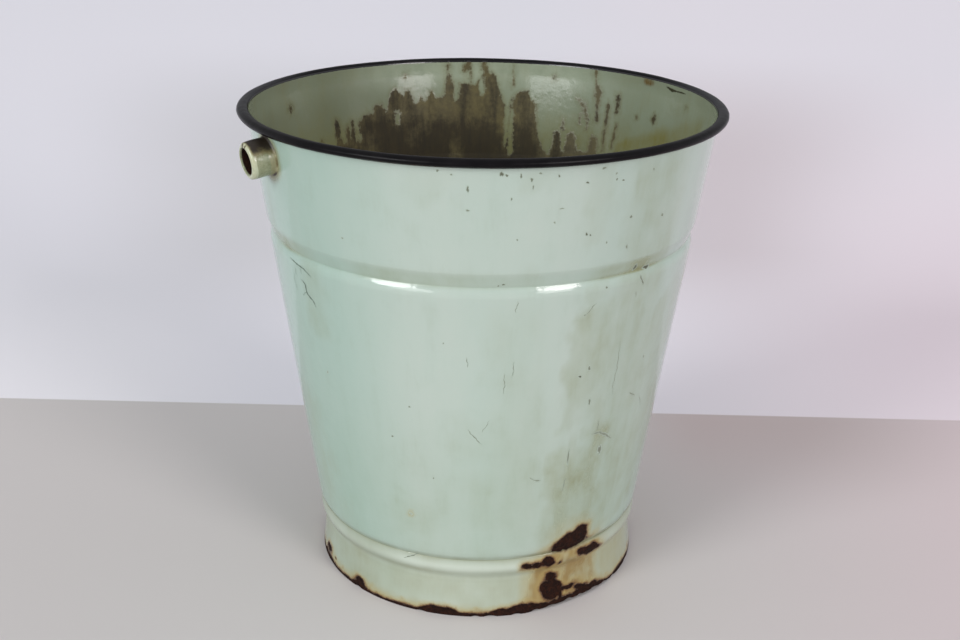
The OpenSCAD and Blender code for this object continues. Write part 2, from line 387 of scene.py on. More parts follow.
def lathe(name, prof, ts, material, shape=None, attrs=None, closed=False, cap=False, flip=False):
    """A turned surface. shape(t, r, z, nr, nz) gives the moved r and z, and attrs(...) the point values."""
    prof = np.asarray(prof, float)
    if closed:
        tan = np.roll(prof, -1, 0) - np.roll(prof, 1, 0)
    else:
        tan = np.gradient(prof, axis=0)
    tan /= np.maximum(np.hypot(tan[:, 0], tan[:, 1]), 1e-9)[:, None]
    nr, nz = tan[:, 1], -tan[:, 0]
    m, n = len(prof), len(ts)
    T = np.broadcast_to(ts, (m, n))
    R = np.repeat(prof[:, :1], n, 1)
    Z = np.repeat(prof[:, 1:], n, 1)
    NR, NZ = np.repeat(nr[:, None], n, 1), np.repeat(nz[:, None], n, 1)
    if shape is not None:
        R, Z = shape(T, R, Z, NR, NZ)
    A = np.radians(T - FRONT)
    V = np.stack([R * np.cos(A), R * np.sin(A), Z], -1).reshape(-1, 3)
    faces = grid_faces(m, n, closed, flip)
    values = attrs(T, R, Z) if attrs else {}
    values = {k: np.broadcast_to(v, (m, n)).reshape(-1) for k, v in values.items()}
    if cap:  # a point in the middle of the first ring
        V = np.vstack([V, [[0, 0, float(V[:n, 2].mean())]]])
        c = len(V) - 1
        for j in range(n):
            f = [c, j, (j + 1) % n]
            faces.append(f if flip else f[::-1])
        values = {k: np.append(v, v[:n].mean()) for k, v in values.items()}
    return make_object(name, V, faces, material, values)


def xy(t, r):
    a = np.radians(t - FRONT)
    return r * np.cos(a), r * np.sin(a)


# ---- materials -------------------------------------------------------------------

def lin(r, g, b):
    """Linear colour from 0 to 255 display values."""
    def f(c):
        c = c / 255.0
        return c / 12.92 if c <= 0.04045 else ((c + 0.055) / 1.055) ** 2.4
    return (f(r), f(g), f(b), 1.0)


class Mat:
    """A small helper for writing node materials as expressions."""

    def __init__(self, name):
        self.m = bpy.data.materials.new(name)
        self.m.use_nodes = True
        self.nt = self.m.node_tree
        self.nt.nodes.clear()
        self.out = self.nt.nodes.new("ShaderNodeOutputMaterial")
        self.bsdf = self.nt.nodes.new("ShaderNodeBsdfPrincipled")
        self.nt.links.new(self.bsdf.outputs[0], self.out.inputs["Surface"])
        self.tc = self.nt.nodes.new("ShaderNodeTexCoord")
        self.P = self.tc.outputs["Object"]

    def put(self, socket, value):
        if isinstance(value, bpy.types.NodeSocket):
            self.nt.links.new(value, socket)
        elif value is not None:
            socket.default_value = value

    def math(self, op, a, b=None, c=None, clamp=False):
        n = self.nt.nodes.new("ShaderNodeMath")
        n.operation = op
        n.use_clamp = clamp
        for s, v in zip(n.inputs, (a, b, c)):
            self.put(s, v)
        return n.outputs[0]

    def add(self, a, b, clamp=False):
        return self.math("ADD", a, b, clamp=clamp)

    def sub(self, a, b, clamp=False):
        return self.math("SUBTRACT", a, b, clamp=clamp)

    def mul(self, a, b, clamp=False):
        return self.math("MULTIPLY", a, b, clamp=clamp)

    def vmax(self, a, b):
        return self.math("MAXIMUM", a, b)

    def vmin(self, a, b):
        return self.math("MINIMUM", a, b)

    def step(self, x, a, b, lo=0.0, hi=1.0, smooth=True):
        n = self.nt.nodes.new("ShaderNodeMapRange")
        n.interpolation_type = "SMOOTHSTEP" if smooth else "LINEAR"
        n.clamp = True
        self.put(n.inputs["Value"], x)
        self.put(n.inputs["From Min"], a)
        self.put(n.inputs["From Max"], b)
        self.put(n.inputs["To Min"], lo)
        self.put(n.inputs["To Max"], hi)
        return n.outputs["Result"]

    def attr(self, name):
        n = self.nt.nodes.new("ShaderNodeAttribute")
        n.attribute_name = name
        return n.outputs["Fac"]

    def scaled(self, sx, sy, sz, vec=None):
        n = self.nt.nodes.new("ShaderNodeMapping")
        n.inputs["Scale"].default_value = (sx, sy, sz)
        self.put(n.inputs["Vector"], vec or self.P)
        return n.outputs[0]

    def noise(self, scale, detail=3.0, rough=0.5, vec=None, distortion=0.0, centred=False):
        """Noise from 0 to 1, or about -1 to 1 when centred. scale is in features a metre."""
        n = self.nt.nodes.new("ShaderNodeTexNoise")
        self.put(n.inputs["Vector"], vec or self.P)
        n.inputs["Scale"].default_value = scale
        n.inputs["Detail"].default_value = detail
        n.inputs["Roughness"].default_value = rough
        n.inputs["Distortion"].default_value = distortion
        o = n.outputs["Fac"]
        if centred:
            o = self.math("MULTIPLY_ADD", o, 2.0, -1.0)
        return o

    def voronoi(self, scale, feature="F1", vec=None, rand=1.0):
        n = self.nt.nodes.new("ShaderNodeTexVoronoi")
        n.feature = feature
        self.put(n.inputs["Vector"], vec or self.P)
        n.inputs["Scale"].default_value = scale
        n.inputs["Randomness"].default_value = rand
        return n.outputs["Distance"]

    def mix(self, f, a, b):
        n = self.nt.nodes.new("ShaderNodeMix")
        n.data_type = "RGBA"
        n.clamp_factor = True
        self.put(n.inputs[0], f)
        self.put(n.inputs[6], a)
        self.put(n.inputs[7], b)
        return n.outputs[2]

    def mixf(self, f, a, b):
        n = self.nt.nodes.new("ShaderNodeMix")
        n.data_type = "FLOAT"
        n.clamp_factor = True
        self.put(n.inputs[0], f)
        self.put(n.inputs[2], a)
        self.put(n.inputs[3], b)
        return n.outputs[0]

    def bump(self, height, distance, normal=None, strength=1.0):
        n = self.nt.nodes.new("ShaderNodeBump")
        n.inputs["Strength"].default_value = strength
        n.inputs["Distance"].default_value = distance
        self.put(n.inputs["Height"], height)
        if normal is not None:
            self.put(n.inputs["Normal"], normal)
        return n.outputs[0]

    def finish(self, color, rough, normal=None, metallic=None, specular=0.5):
        self.put(self.bsdf.inputs["Base Color"], color)
        self.put(self.bsdf.inputs["Roughness"], rough)
        self.bsdf.inputs["IOR"].default_value = 1.52
        self.bsdf.inputs["Specular IOR Level"].default_value = specular
        if normal is not None:
            self.put(self.bsdf.inputs["Normal"], normal)
        if metallic is not None:
            self.put(self.bsdf.inputs["Metallic"], metallic)
        return self.m


def rust_colour(k):
    """Dark flaking rust, with a little orange in the hollows."""
    a = k.noise(420, 4, 0.6)
    b = k.noise(1500, 3, 0.6)
    c = k.mix(k.step(a, 0.38, 0.70), lin(34, 18, 13), lin(56, 29, 18))
    c = k.mix(k.step(b, 0.60, 0.82), c, lin(98, 54, 28))
    return c


def enamel(name, mint, deep, dirt_and_shade, extra_rough=0.0):
    """Pale glossy enamel with dirt, amber runs and rust, and painted light and shade, placed by the piece's point
    values.
    """
    k = Mat(name)
    big = k.noise(14, 2, 0.5, centred=True)
    mid = k.noise(60, 3, 0.55, centred=True)
    runs = k.noise(1.0, 4, 0.6, vec=k.scaled(95, 95, 7), centred=True)
    thin = k.noise(1.0, 3, 0.6, vec=k.scaled(420, 420, 16), centred=True)
    fine = k.noise(900, 3, 0.6, centred=True)
    # body colour, with painted light and shade from the point values
    tone = k.add(k.attr("tone"), k.add(k.mul(big, 0.18), k.add(k.mul(mid, 0.10), k.mul(runs, 0.16))))
    col = k.mix(k.step(tone, 0.0, 1.0, smooth=False), mint, deep)
    # thin grey film, everywhere a little
    film = k.step(k.add(k.add(mid, runs), k.mul(thin, 0.5)), 0.0, 1.2)
    col = k.mix(k.mul(film, 0.22), col, lin(150, 156, 138))
    # painted highlight on the foot ring's collar, then dirt and painted shade
    col = k.mix(k.attr("pale"), col, lin(204, 214, 204))
    g = k.attr("grime")
    g = k.mul(g, k.add(1.0, k.add(k.mul(runs, 0.40), k.add(k.mul(thin, 0.14), k.mul(mid, 0.55)))))
    col = k.mix(k.mul(g, 0.95, clamp=True), col, dirt_and_shade)
    gd = k.mul(k.step(g, 0.42, 0.95), k.add(0.30, k.step(thin, -0.1, 0.8)))
    col = k.mix(k.mul(gd, 0.42), col, lin(104, 102, 62))
    # amber stain below and round the rust
    am = k.mul(k.attr("amber"), k.add(1.0, k.add(k.mul(runs, 0.55), k.mul(mid, 0.5))))
    col = k.mix(k.mul(am, 0.85, clamp=True), col, lin(158, 146, 98))
    col = k.mix(k.step(am, 0.50, 1.25, 0.0, 0.75), col, lin(124, 98, 52))
    # rust and its fringe
    rn = k.add(k.mul(k.noise(260, 4, 0.6, centred=True), 1.3), k.mul(k.noise(1100, 3, 0.6, centred=True), 0.5))
    rs = k.add(k.attr("rust"), rn)
    col = k.mix(k.step(rs, -4.6, -0.4, 0.0, 0.60), col, lin(158, 142, 88))
    col = k.mix(k.step(rs, -2.2, -0.1, 0.0, 0.85), col, lin(108, 72, 34))
    col = k.mix(k.step(rs, -0.9, 0.1, 0.0, 0.85), col, lin(56, 30, 18))
    inside = k.step(rs, -0.15, 0.25)
    col = k.mix(inside, col, rust_colour(k))
    # dark joints, dirt with painted shade in the crease, and small marks
    mk = k.mul(k.attr("mark"), k.sub(1.0, inside, clamp=True))
    col = k.mix(k.mul(mk, k.add(1.0, k.mul(mid, 0.4)), clamp=True), col, lin(112, 116, 84))
    # gloss
    rough = k.add(0.085 + extra_rough, k.add(k.mul(k.step(mid, -0.2, 0.9), 0.06), k.mul(k.step(thin, 0.0, 1.0), 0.05)))
    rough = k.add(rough, k.mul(g, 0.30))
    rough = k.add(rough, k.mul(am, 0.14))
    rough = k.mixf(inside, k.math("MINIMUM", rough, 0.62), 0.78)
    # surface
    n = k.bump(k.noise(190, 2, 0.5), 0.00045, strength=0.30)
    n = k.bump(k.mul(inside, k.add(k.noise(700, 4, 0.65), k.mul(k.noise(230, 2, 0.5), 1.4))), 0.0007, n, 0.9)
    n = k.bump(k.mul(k.step(g, 0.2, 0.9), fine), 0.00005, n, 0.5)
    return k.finish(col, rough, n, metallic=k.mul(inside, 0.8))


MINT = lin(173, 186, 177)
DEEP = lin(154, 179, 168)
DIRT_AND_SHADE = lin(132, 138, 102)

mat_outer = enamel("enamel_outside", MINT, DEEP, DIRT_AND_SHADE)
mat_foot = enamel("enamel_foot_ring", lin(168, 178, 164), lin(150, 163, 146), lin(130, 128, 90))

# ---- the wall's outside -------------------------------------------------------------


def painted_light_and_tone_at(t, z, x, y):
    """0 for the palest enamel, 1 for the deepest: painted light and shade round the pail, lighter towards the lights
    and darker at the left side, over a little random tone.
    """
    pts = [(-180, .45), (-130, .5), (-100, .6), (-75, .75), (-55, .9), (-38, .7), (-28, .42), (-18, .1), (-8, .12),
           (0, .26), (12, .22), (22, .18), (30, .32), (44, .45), (60, .5), (90, .5), (130, .4), (180, .45)]
    k = np.interp(wrap(t), [p[0] for p in pts], [p[1] for p in pts])
    return k + 0.10 * fbm(x, y, z * 0.5, 60.0, 91, 2)


def outer_shape(T, R, Z, NR, NZ):
    x, y = xy(T, R)
    R = R + np.where(Z > 40, wobble(T, Z), 0) * ramp(R, 60, 100)
    d = 0.07 * fbm(x, y, Z * 0.45, 46.0, 5, 2) * ramp(Z, 44, 70)
    rust = rust_at(T, Z, x, y)
    inside = ramp(rust, -0.3, 0.8) * ramp(R, 101, 103) * ramp(Z, 40.2, 41.5)
    d = d + inside * (-0.16 + 0.30 * fbm(x, y, Z, 3.2, 13, 3))
    # the enamel stands a little proud where rust lifts its edge
    d = d + 0.14 * np.exp(-((rust + 0.7) / 0.6) ** 2) * ramp(R, 101, 103) * ramp(Z, 40.2, 41.5)
    return R + NR * d, Z + NZ * d


def outer_attrs(T, R, Z):
    x, y = xy(T, R)
    rust = rust_at(T, Z, x, y)
    under = ramp(-Z, -33.5, -30) * ramp(-R, -102, -97)
    rust = np.where(under > 0.5, (fbm(x, y, Z, 26.0, 17, 4) - 0.25) * 9.0 + (R - 92) * 0.10, rust)
    grime = grime_at(T, Z, x, y)
    ring = groove_at(T, Z, x, y)
    side = ramp(T, 8, 24) * ramp(-T, -60, -48)
    # dark line in the joint above the foot ring: dirt with painted shade, since the enamel fills the joint
    joint_dirt_and_shade = np.exp(-((Z - 40.2) / 1.5) ** 2) * (0.40 + 0.45 * side + 0.2 * fbm(x, y, Z, 24.0, 33, 2))
    ear = ear_distance(T, Z)
    halo = ramp(-ear, -17.0, -11.0)
    grime = np.maximum.reduce([grime, ring, 0.8 * halo, 0.5 * under])
    # painted shade with the dirt: darker towards the bottom on the half facing the camera
    grime = np.clip(grime + 0.15 * ramp(-Z, -170, -60) * ramp(-np.abs(T), -80, -60), 0, 1)
    near_rust = ramp(rust, -7.0, -0.5)
    amber = 0.62 * near_rust * (0.7 + 0.6 * fbm(x, y, Z, 9.0, 165, 3))
    amber = np.maximum(amber, 0.42 * soft(T, Z, 33.0, 50.0, 24, 18, 104))
    amber = np.maximum(amber, 0.35 * ramp(-Z, -58, -40) * ramp(-np.abs(wrap(T - 36)), -17, -9))
    amber = np.maximum(amber, 0.62 * soft(T, Z, -21.0, 69.0, 3.6, 3.6, 106))
    amber = np.maximum(amber, 0.55 * halo * (0.6 + 0.5 * fbm(x, y, Z, 7.0, 35, 2)))
    mark = np.maximum(joint_dirt_and_shade, 0.75 * ramp(-ear, -12.6, -11.0))
    # painted shade: darker in the pressed ring's recess and towards the bottom of the wall
    shade = 0.18 * ramp(Z, 217.6, 219.6) * ramp(-Z, -229.0, -224.0) + 0.14 * ramp(-Z, -150, -70)
    return {"rust": rust, "grime": grime, "amber": amber, "tone": painted_light_and_tone_at(T, Z, x, y) + shade, "mark": mark}


def body_step(r, z):
    if z < 29.5 and r < 94:
        return 7.0
    if z < 39.4:
        return 1.6
    if z < 60:
        return 0.55
    if z < 214:
        return 2.6
    if z < 230:
        return 0.7
    return 2.0


ts_body = ring_angles(lambda t: 0.42 if 12 <= t < 56 else 0.9 if -80 <= t < 80 else 1.3)
prof = resample(OUTSIDE, body_step)
prof = prof[prof[:, 0] > 0.5]
wall = lathe("wall_outside", prof, ts_body, mat_outer, outer_shape, outer_attrs, cap=True)

# ---- the wall's inside ---------------------------------------------------------------

# Height of the brown stain's top edge round the inside, and of its darkest part. Degrees run 0 to 360.
H1 = [(0, 222), (20, 214), (50, 224), (80, 220), (100, 224), (120, 230), (135, 236), (150, 235), (160, 231),
      (161.5, 234), (163, 243), (164, 254), (164.3, 263), (166, 267), (167, 271), (170.5, 271), (171.3, 266),
      (172, 260), (172.7, 234), (173.2, 233), (173.9, 262), (175, 268), (176, 275), (177, 283), (179, 285),
      (179.2, 289.5), (179.9, 289.5), (180.3, 280), (182.5, 276), (187.3, 276), (189, 277), (189.6, 281),
      (190.8, 281), (191.6, 268), (194, 267), (195.5, 272), (196.6, 266), (198, 265), (198.5, 268), (199.2, 265),
      (200.5, 262), (201.6, 268), (202.2, 272), (203.4, 273), (204.2, 269), (205, 271), (206.2, 273.6), (207.6, 271.5), (208.6, 267), (209.1, 261),
      (210, 260),
      (210.6, 264), (213.5, 264), (214.5, 259), (216, 258), (217.5, 258), (218.5, 255), (219.5, 253), (220.6, 241),
      (221, 256), (222, 256), (222.6, 243), (223.1, 254), (224, 254), (224.7, 245), (226.4, 246), (226.7, 258),
      (227.6, 258), (228.2, 240), (231, 233), (240, 228), (260, 222), (290, 224), (320, 216), (360, 222)]
H2 = [(0, 190), (60, 198), (110, 205), (140, 222), (155, 226), (161.5, 226), (164.5, 249), (170, 249),
      (170.7, 238), (172, 240), (173, 243), (175, 243), (176, 249), (178, 250), (195, 250), (196, 252), (205, 252),
      (206, 255), (207, 257), (217.5, 257), (219, 250), (220.4, 239), (226, 240), (230, 232), (240, 222), (260, 205),
      (300, 196), (360, 190)]
# Runs and spots: points of (degrees, z, half-width in mm), and 1 where they belong to the darkest part too
RUNS = [([(138.5, 264, 1.2), (138.4, 270, 1.7), (138.6, 276, 1.0)], 1),
        ([(146.8, 290, 1.0), (146.5, 281, 1.0), (145.4, 276, 2.8), (145.4, 271, 2.2), (145.0, 261, 0.7)], 0),
        ([(141.6, 268, 1.4), (141.4, 254, 1.1), (141.5, 238, 1.2)], 0),
        ([(144.7, 260.5, 1.7), (144.7, 257.5, 1.7)], 1),
        ([(151.8, 269, 1.1), (149.6, 265, 1.5), (148.3, 257, 1.1), (148.0, 250, 0.8)], 0),
        ([(138.0, 256, 0.9), (138.5, 242, 1.2)], 0),
        ([(150.5, 260, 0.5), (150.5, 254, 0.7)], 0), ([(155.5, 254, 0.6), (155.4, 248, 0.7)], 0),
        ([(145.0, 243, 3.2), (145.2, 230, 5.0)], 0), ([(152.5, 243, 3.6), (152.6, 230, 6.0)], 0),
        ([(157.0, 244, 2.4), (157.2, 230, 5.0)], 1),
        ([(124.5, 266.6, 1.8), (124.5, 265.4, 1.8)], 1), ([(131, 264.4, 0.45), (131, 263.6, 0.45)], 0),
        ([(111, 279.4, 0.6), (111, 278.6, 0.6)], 0), ([(159.5, 282.6, 0.8), (159.5, 281.4, 0.8)], 0),
        ([(245, 273.8, 2.0), (245.3, 272.2, 2.2)], 1), ([(203, 283, 0.8), (203, 281, 0.8)], 0),
        ([(179.9, 290, 1.6), (179.2, 283, 1.9), (177.6, 275, 2.6), (176.4, 265, 3.2)], 0),
        ([(178.2, 280, 1.6), (177.2, 268, 1.4)], 1), ([(179.3, 262, 1.0), (179.3, 258, 1.0)], 1),
        ([(190.2, 290, 0.6), (190.1, 276, 0.9), (190.3, 262, 1.2)], 0), ([(184.4, 289, 2.2), (185.4, 284, 1.6)], 0),
        ([(206.4, 268, 4.2), (206.8, 264, 4.6)], 1), ([(212, 262, 1.8), (212, 255, 2.6)], 1),
        ([(203, 271, 1.4), (202.6, 258, 1.2)], 1), ([(195.6, 270, 0.9), (195.4, 256, 1.1)], 1),
        ([(168.6, 269, 2.0), (167.4, 258, 1.6), (168.0, 248, 2.4)], 1),
        ([(177.4, 281, 1.0), (176.9, 268, 1.2), (177.2, 252, 2.0)], 1),
        ([(186, 274, 1.2), (185.6, 262, 1.4), (186, 250, 2.0)], 1),
        ([(221.5, 255, 0.9), (221.5, 240, 1.1)], 1), ([(227.1, 257, 1.3), (227, 248, 1.8)], 1),
        ([(183.8, 290, 0.5), (183.8, 277, 0.7)], 0), ([(171.5, 290, 0.4), (171.6, 275, 0.4)], 0),
        ([(233.5, 247, 0.7), (233.2, 234, 1.4)], 0), ([(239, 241, 0.8), (239, 230, 1.8)], 0),
        ([(86, 262, 1.2), (86, 236, 2.0)], 0), ([(66, 270, 1.6), (67, 232, 2.6)], 1),
        ([(30, 256, 1.0), (30, 226, 2.0)], 0), ([(12, 266, 1.4), (12, 222, 2.4)], 1),
        ([(345, 258, 1.4), (344, 222, 2.4)], 1), ([(318, 250, 1.2), (318, 222, 2.0)], 0),
        ([(290, 262, 1.6), (291, 230, 2.6)], 1), ([(270, 248, 1.2), (270, 226, 2.0)], 0)]
# Places the stain has left clear
CLEAR = [([(171.9, 258, 1.6), (171.7, 244, 2.2), (171.4, 230, 2.4)], 0.0),
         ([(180.6, 280, 1.4), (180.6, 275, 2.2), (180.4, 270, 1.4)], 0.0),
         ([(188.0, 276, 1.5), (188.0, 270, 2.4), (188.1, 266, 1.2)], 0.0),
         ([(206.3, 259, 1.2), (206.4, 254, 2.2), (206.2, 250, 1.2)], 0.0),
         ([(209.6, 268, 1.6), (209.6, 261, 1.2)], 0.0),
         ([(174.6, 253.4, 1.2), (174.4, 250.6, 1.4)], 0.3), ([(173.5, 249.5, 1.1), (173.5, 246.5, 1.1)], 0.3),
         ([(198.0, 250.5, 1.4), (198, 246.5, 1.8)], 0.5), ([(201.3, 244, 1.2), (201.3, 240.5, 1.5)], 0.6),
         ([(215.5, 242, 1.6), (215.5, 236, 2.0)], 0.5), ([(188.5, 234, 1.6), (188.5, 228, 2.0)], 0.6),
         ([(219.6, 252, 1.0), (219.4, 244, 1.4)], 0.0), ([(225.2, 254, 1.2), (225, 245, 1.4)], 0.0)]


def taper(tt, z, pts, r=136.0):
    """mm inside a run whose half-width changes along it."""
    best = np.full(tt.shape, -99.0)
    px = np.radians(tt) * r
    for (t0, z0, w0), (t1, z1, w1) in zip(pts[:-1], pts[1:]):
        ax, bx = math.radians(t0) * r, math.radians(t1) * r
        dx, dz = bx - ax, z1 - z0
        u = np.clip(((px - ax) * dx + (z - z0) * dz) / (dx * dx + dz * dz), 0, 1)
        d = np.hypot(px - ax - u * dx, z - z0 - u * dz)
        best = np.maximum(best, w0 + (w1 - w0) * u - d)
    return best


def tide(tt, z, table):
    """mm below (positive) or above a top edge, measured across steep parts of it too."""
    a = [p[0] for p in table]
    b = [p[1] for p in table]
    h = np.interp(tt, a, b)
    best = None
    for d in (-0.9, -0.6, -0.35, -0.15, 0.15, 0.35, 0.6, 0.9):
        hh = np.interp(tt + d, a, b) - z
        side = abs(d) * 2.37
        inside = np.where(hh > 0, -side, hh - side)       # outside: how far to a stained neighbour
        outside = np.where(hh < 0, side, hh + side)       # inside: how far to a clear neighbour
        best = (inside, outside) if best is None else (np.maximum(best[0], inside), np.minimum(best[1], outside))
    v = h - z
    return np.where(v < 0, np.maximum(v, best[0]), np.minimum(v, best[1]))


def inner_shape(T, R, Z, NR, NZ):
    x, y = xy(T, R)
    R = R + wobble(T, Z) * ramp(R, 60, 100)
    d = 0.06 * fbm(x, y, Z * 0.5, 40.0, 7, 2) * ramp(R, 40, 90)
    d = d + 0.12 * ramp(-Z, -34, -31) * fbm(x, y, Z, 9.0, 19, 3)
    return R - NR * d, Z - NZ * d


def inner_attrs(T, R, Z):
    x, y = xy(T, R)
    tt = T % 360.0
    wt = tt + 0.30 * fbm(x, y, Z * 0.5, 7.0, 111, 3)
    wz = Z + 1.1 * fbm(x, y, Z * 0.4, 6.0, 113, 3)
    s1 = tide(wt, wz, H1)
    s2 = tide(wt, wz, H2)
    near = (Z > 215) & (R > 120)
    for pts, deep in RUNS:
        v = taper(wt, wz, pts)
        s1 = np.where(near, np.maximum(s1, v), s1)
        if deep:
            s2 = np.where(near, np.maximum(s2, v - 0.4), s2)
    for pts, keep in CLEAR:
        v = taper(wt, wz, pts)
        if keep == 0.0:
            s1 = np.where(near, np.minimum(s1, -v), s1)
        s2 = np.where(near, np.minimum(s2, -v), s2)
    cool = ramp(tt, 178, 232) * ramp(-tt, -330, -250)
    # lighter towards the top of the back of the inside: painted light above the near rim's shadow
    tone = 0.25 + 0.45 * cool + 0.12 * fbm(x, y, Z, 40.0, 101, 3) - 0.5 * ramp(Z, 266, 286) * (1 - 0.6 * cool) * ramp(tt, 138, 160)
    # an olive film follows a slanting tide line
    film = 272.0 - 0.80 * (tt - 100.0) + 1.5 * fbm(x, y, Z, 12.0, 117, 3)
    gold = 0.85 * ramp(film - Z, -9.0, 1.0) * (0.62 + 0.38 * ramp(tt, 108, 122)) * ramp(tt, 94, 104) * ramp(-tt, -142, -135)
    gold = np.maximum(gold, 0.85 * soft(T, Z, 133, 243, 9, 12, 136))
    gold = np.maximum(gold, 0.58 * ramp(-Z, -268, -238))
    edge = ramp(Z, 284, 288.5) * (0.03 + 0.6 * np.exp(-(wrap(tt - 128.4) / 2.0) ** 2)) + 0.85 * soft(T, Z, 128.4, 288.4, 6.6, 3.4, 138)
    crack = np.maximum(taper(tt, Z, [(112.0, 287.6, 0.3), (114.6, 287.3, 0.6), (117.0, 287.1, 0.6)], 137.0),
                       taper(tt, Z, [(117.0, 287.1, 0.6), (118.8, 287.0, 1.1), (121.0, 288.2, 0.5)], 137.0))
    floor = ramp(-Z, -45, -31)
    # top is painted light on the upper back of the inside wall
    return {"s1": np.clip(s1, -20, 20), "s2": np.clip(s2, -20, 20), "tone": np.clip(tone, 0, 1), "edge": edge,
            "floor": floor, "gold": np.clip(gold, 0, 1), "crack": np.clip(crack, -5, 5),
            "top": 0.55 * ramp(Z, 270, 286) * ramp(-tt, -226, -206) * ramp(tt, 136, 160), "black": ramp(Z, 289.2, 291.0)}


def inside_material():
    k = Mat("enamel_inside")
    big = k.noise(16, 3, 0.55, centred=True)
    mid = k.noise(70, 4, 0.6, centred=True)
    runs = k.noise(1.0, 4, 0.6, vec=k.scaled(150, 150, 15), centred=True)
    thin = k.noise(1.0, 3, 0.65, vec=k.scaled(430, 430, 46), centred=True)
    fine = k.noise(1000, 3, 0.6, centred=True)
    grain = k.noise(420, 3, 0.6, centred=True)
    col = k.mix(k.add(k.attr("tone"), k.mul(big, 0.30), clamp=True), lin(130, 140, 120), lin(106, 112, 90))
    # painted light on the upper back of the inside wall, then a yellow film
    col = k.mix(k.mul(k.attr("top"), k.step(mid, -0.8, 0.4)), col, lin(158, 168, 148))
    film = k.step(k.add(k.add(mid, runs), k.mul(big, 0.8)), -0.4, 1.3)
    col = k.mix(k.mul(film, 0.34), col, lin(118, 116, 80))
    gold = k.mul(k.attr("gold"), k.add(1.0, k.add(k.mul(mid, 0.7), k.mul(runs, 0.5))), clamp=True)
    col = k.mix(k.mul(gold, 0.80), col, lin(112, 107, 54))
    # brown stain, its edge broken into fine runs
    speck = k.noise(270, 5, 0.68, centred=True)
    s1 = k.add(k.attr("s1"), k.add(k.mul(runs, 1.4), k.add(k.mul(thin, 1.6), k.add(k.mul(grain, 1.6), k.mul(speck, 3.4)))))
    s2 = k.add(k.attr("s2"), k.add(k.mul(runs, 8.0), k.add(k.mul(thin, 3.0), k.add(k.mul(mid, 5.0), k.mul(speck, 7.0)))))
    m1 = k.step(s1, -1.1, 1.3)
    halo = k.step(s1, -4.5, 1.0)
    col = k.mix(k.mul(halo, 0.38), col, lin(100, 98, 62))
    brown = k.mix(k.step(k.add(speck, k.add(mid, k.mul(runs, 0.8))), -0.8, 0.9), lin(82, 72, 29), lin(56, 47, 15))
    col = k.mix(k.mul(m1, 0.92), col, brown)
    m2 = k.mul(m1, k.step(s2, -8.0, 7.0))
    dark = k.mix(k.step(k.add(thin, runs), -0.6, 0.9), lin(42, 34, 9), lin(26, 21, 6))
    col = k.mix(k.mul(m2, 0.88), col, dark)
    # rim's worn edge, a crack in it, and the bottom
    col = k.mix(k.mul(k.attr("edge"), k.step(k.add(mid, thin), -1.0, 0.2), clamp=True), col, lin(94, 76, 42))
    col = k.mix(k.step(k.add(k.attr("crack"), k.mul(grain, 0.5)), -0.3, 0.4), col, lin(50, 50, 36))
    # the black of the rim starts on the inner side of the roll
    black = k.step(k.add(k.attr("black"), k.mul(grain, 0.18)), 0.55, 0.70)
    col = k.mix(black, col, lin(16, 15, 17))
    fl = k.mul(k.attr("floor"), k.step(k.add(mid, big), -0.7, 0.7))
    col = k.mix(k.mul(fl, 0.8), col, lin(62, 40, 26))
    rough = k.add(0.13, k.mul(k.step(mid, -0.4, 0.9), 0.06))
    rough = k.mixf(m1, rough, 0.62)
    rough = k.mixf(m2, rough, 0.80)
    n = k.bump(k.noise(200, 2, 0.5), 0.0004, strength=0.3)
    n = k.bump(k.mul(m1, k.add(0.7, k.mul(fine, 0.5))), 0.00012, n, 0.6)
    return k.finish(col, rough, n)


def inner_step(r, z):
    if z < 30 and r < 92:
        return 6.0
    if z < 42:
        return 1.8
    if z < 222:
        return 3.6
    return 0.9


ts_in = ring_angles(lambda t: 0.36 if abs(t) > 126 else 0.8 if abs(t) > 104 else 1.6)
LIP = ellipse(ROLL_C, 3.5, 2.4, 180, 150, 6)
LOW = BODY_IN[BODY_IN[:, 1] < 281.0]
r_a, z_a, r_b, z_b = upper_r(281.0) - 0.81, 281.0, float(LIP[0, 0]), float(LIP[0, 1])
BEND = []
for i in range(13):
    u = i / 12.0
    v = (1 + 2 * u) * (1 - u) ** 2 * r_a + u * (1 - u) ** 2 * 0.15 * (z_b - z_a) + u * u * (3 - 2 * u) * r_b
    BEND.append((v, z_a + (z_b - z_a) * u))
prof = resample(np.vstack([LOW, BEND, LIP[1:]]), lambda r, z: min(inner_step(r, z), 0.6) if z > 285 else inner_step(r, z))
prof = prof[prof[:, 0] > 0.5]
inside = lathe("wall_inside", prof, ts_in, inside_material(), inner_shape, inner_attrs, cap=True, flip=True)

# ---- the rolled rim --------------------------------------------------------------------


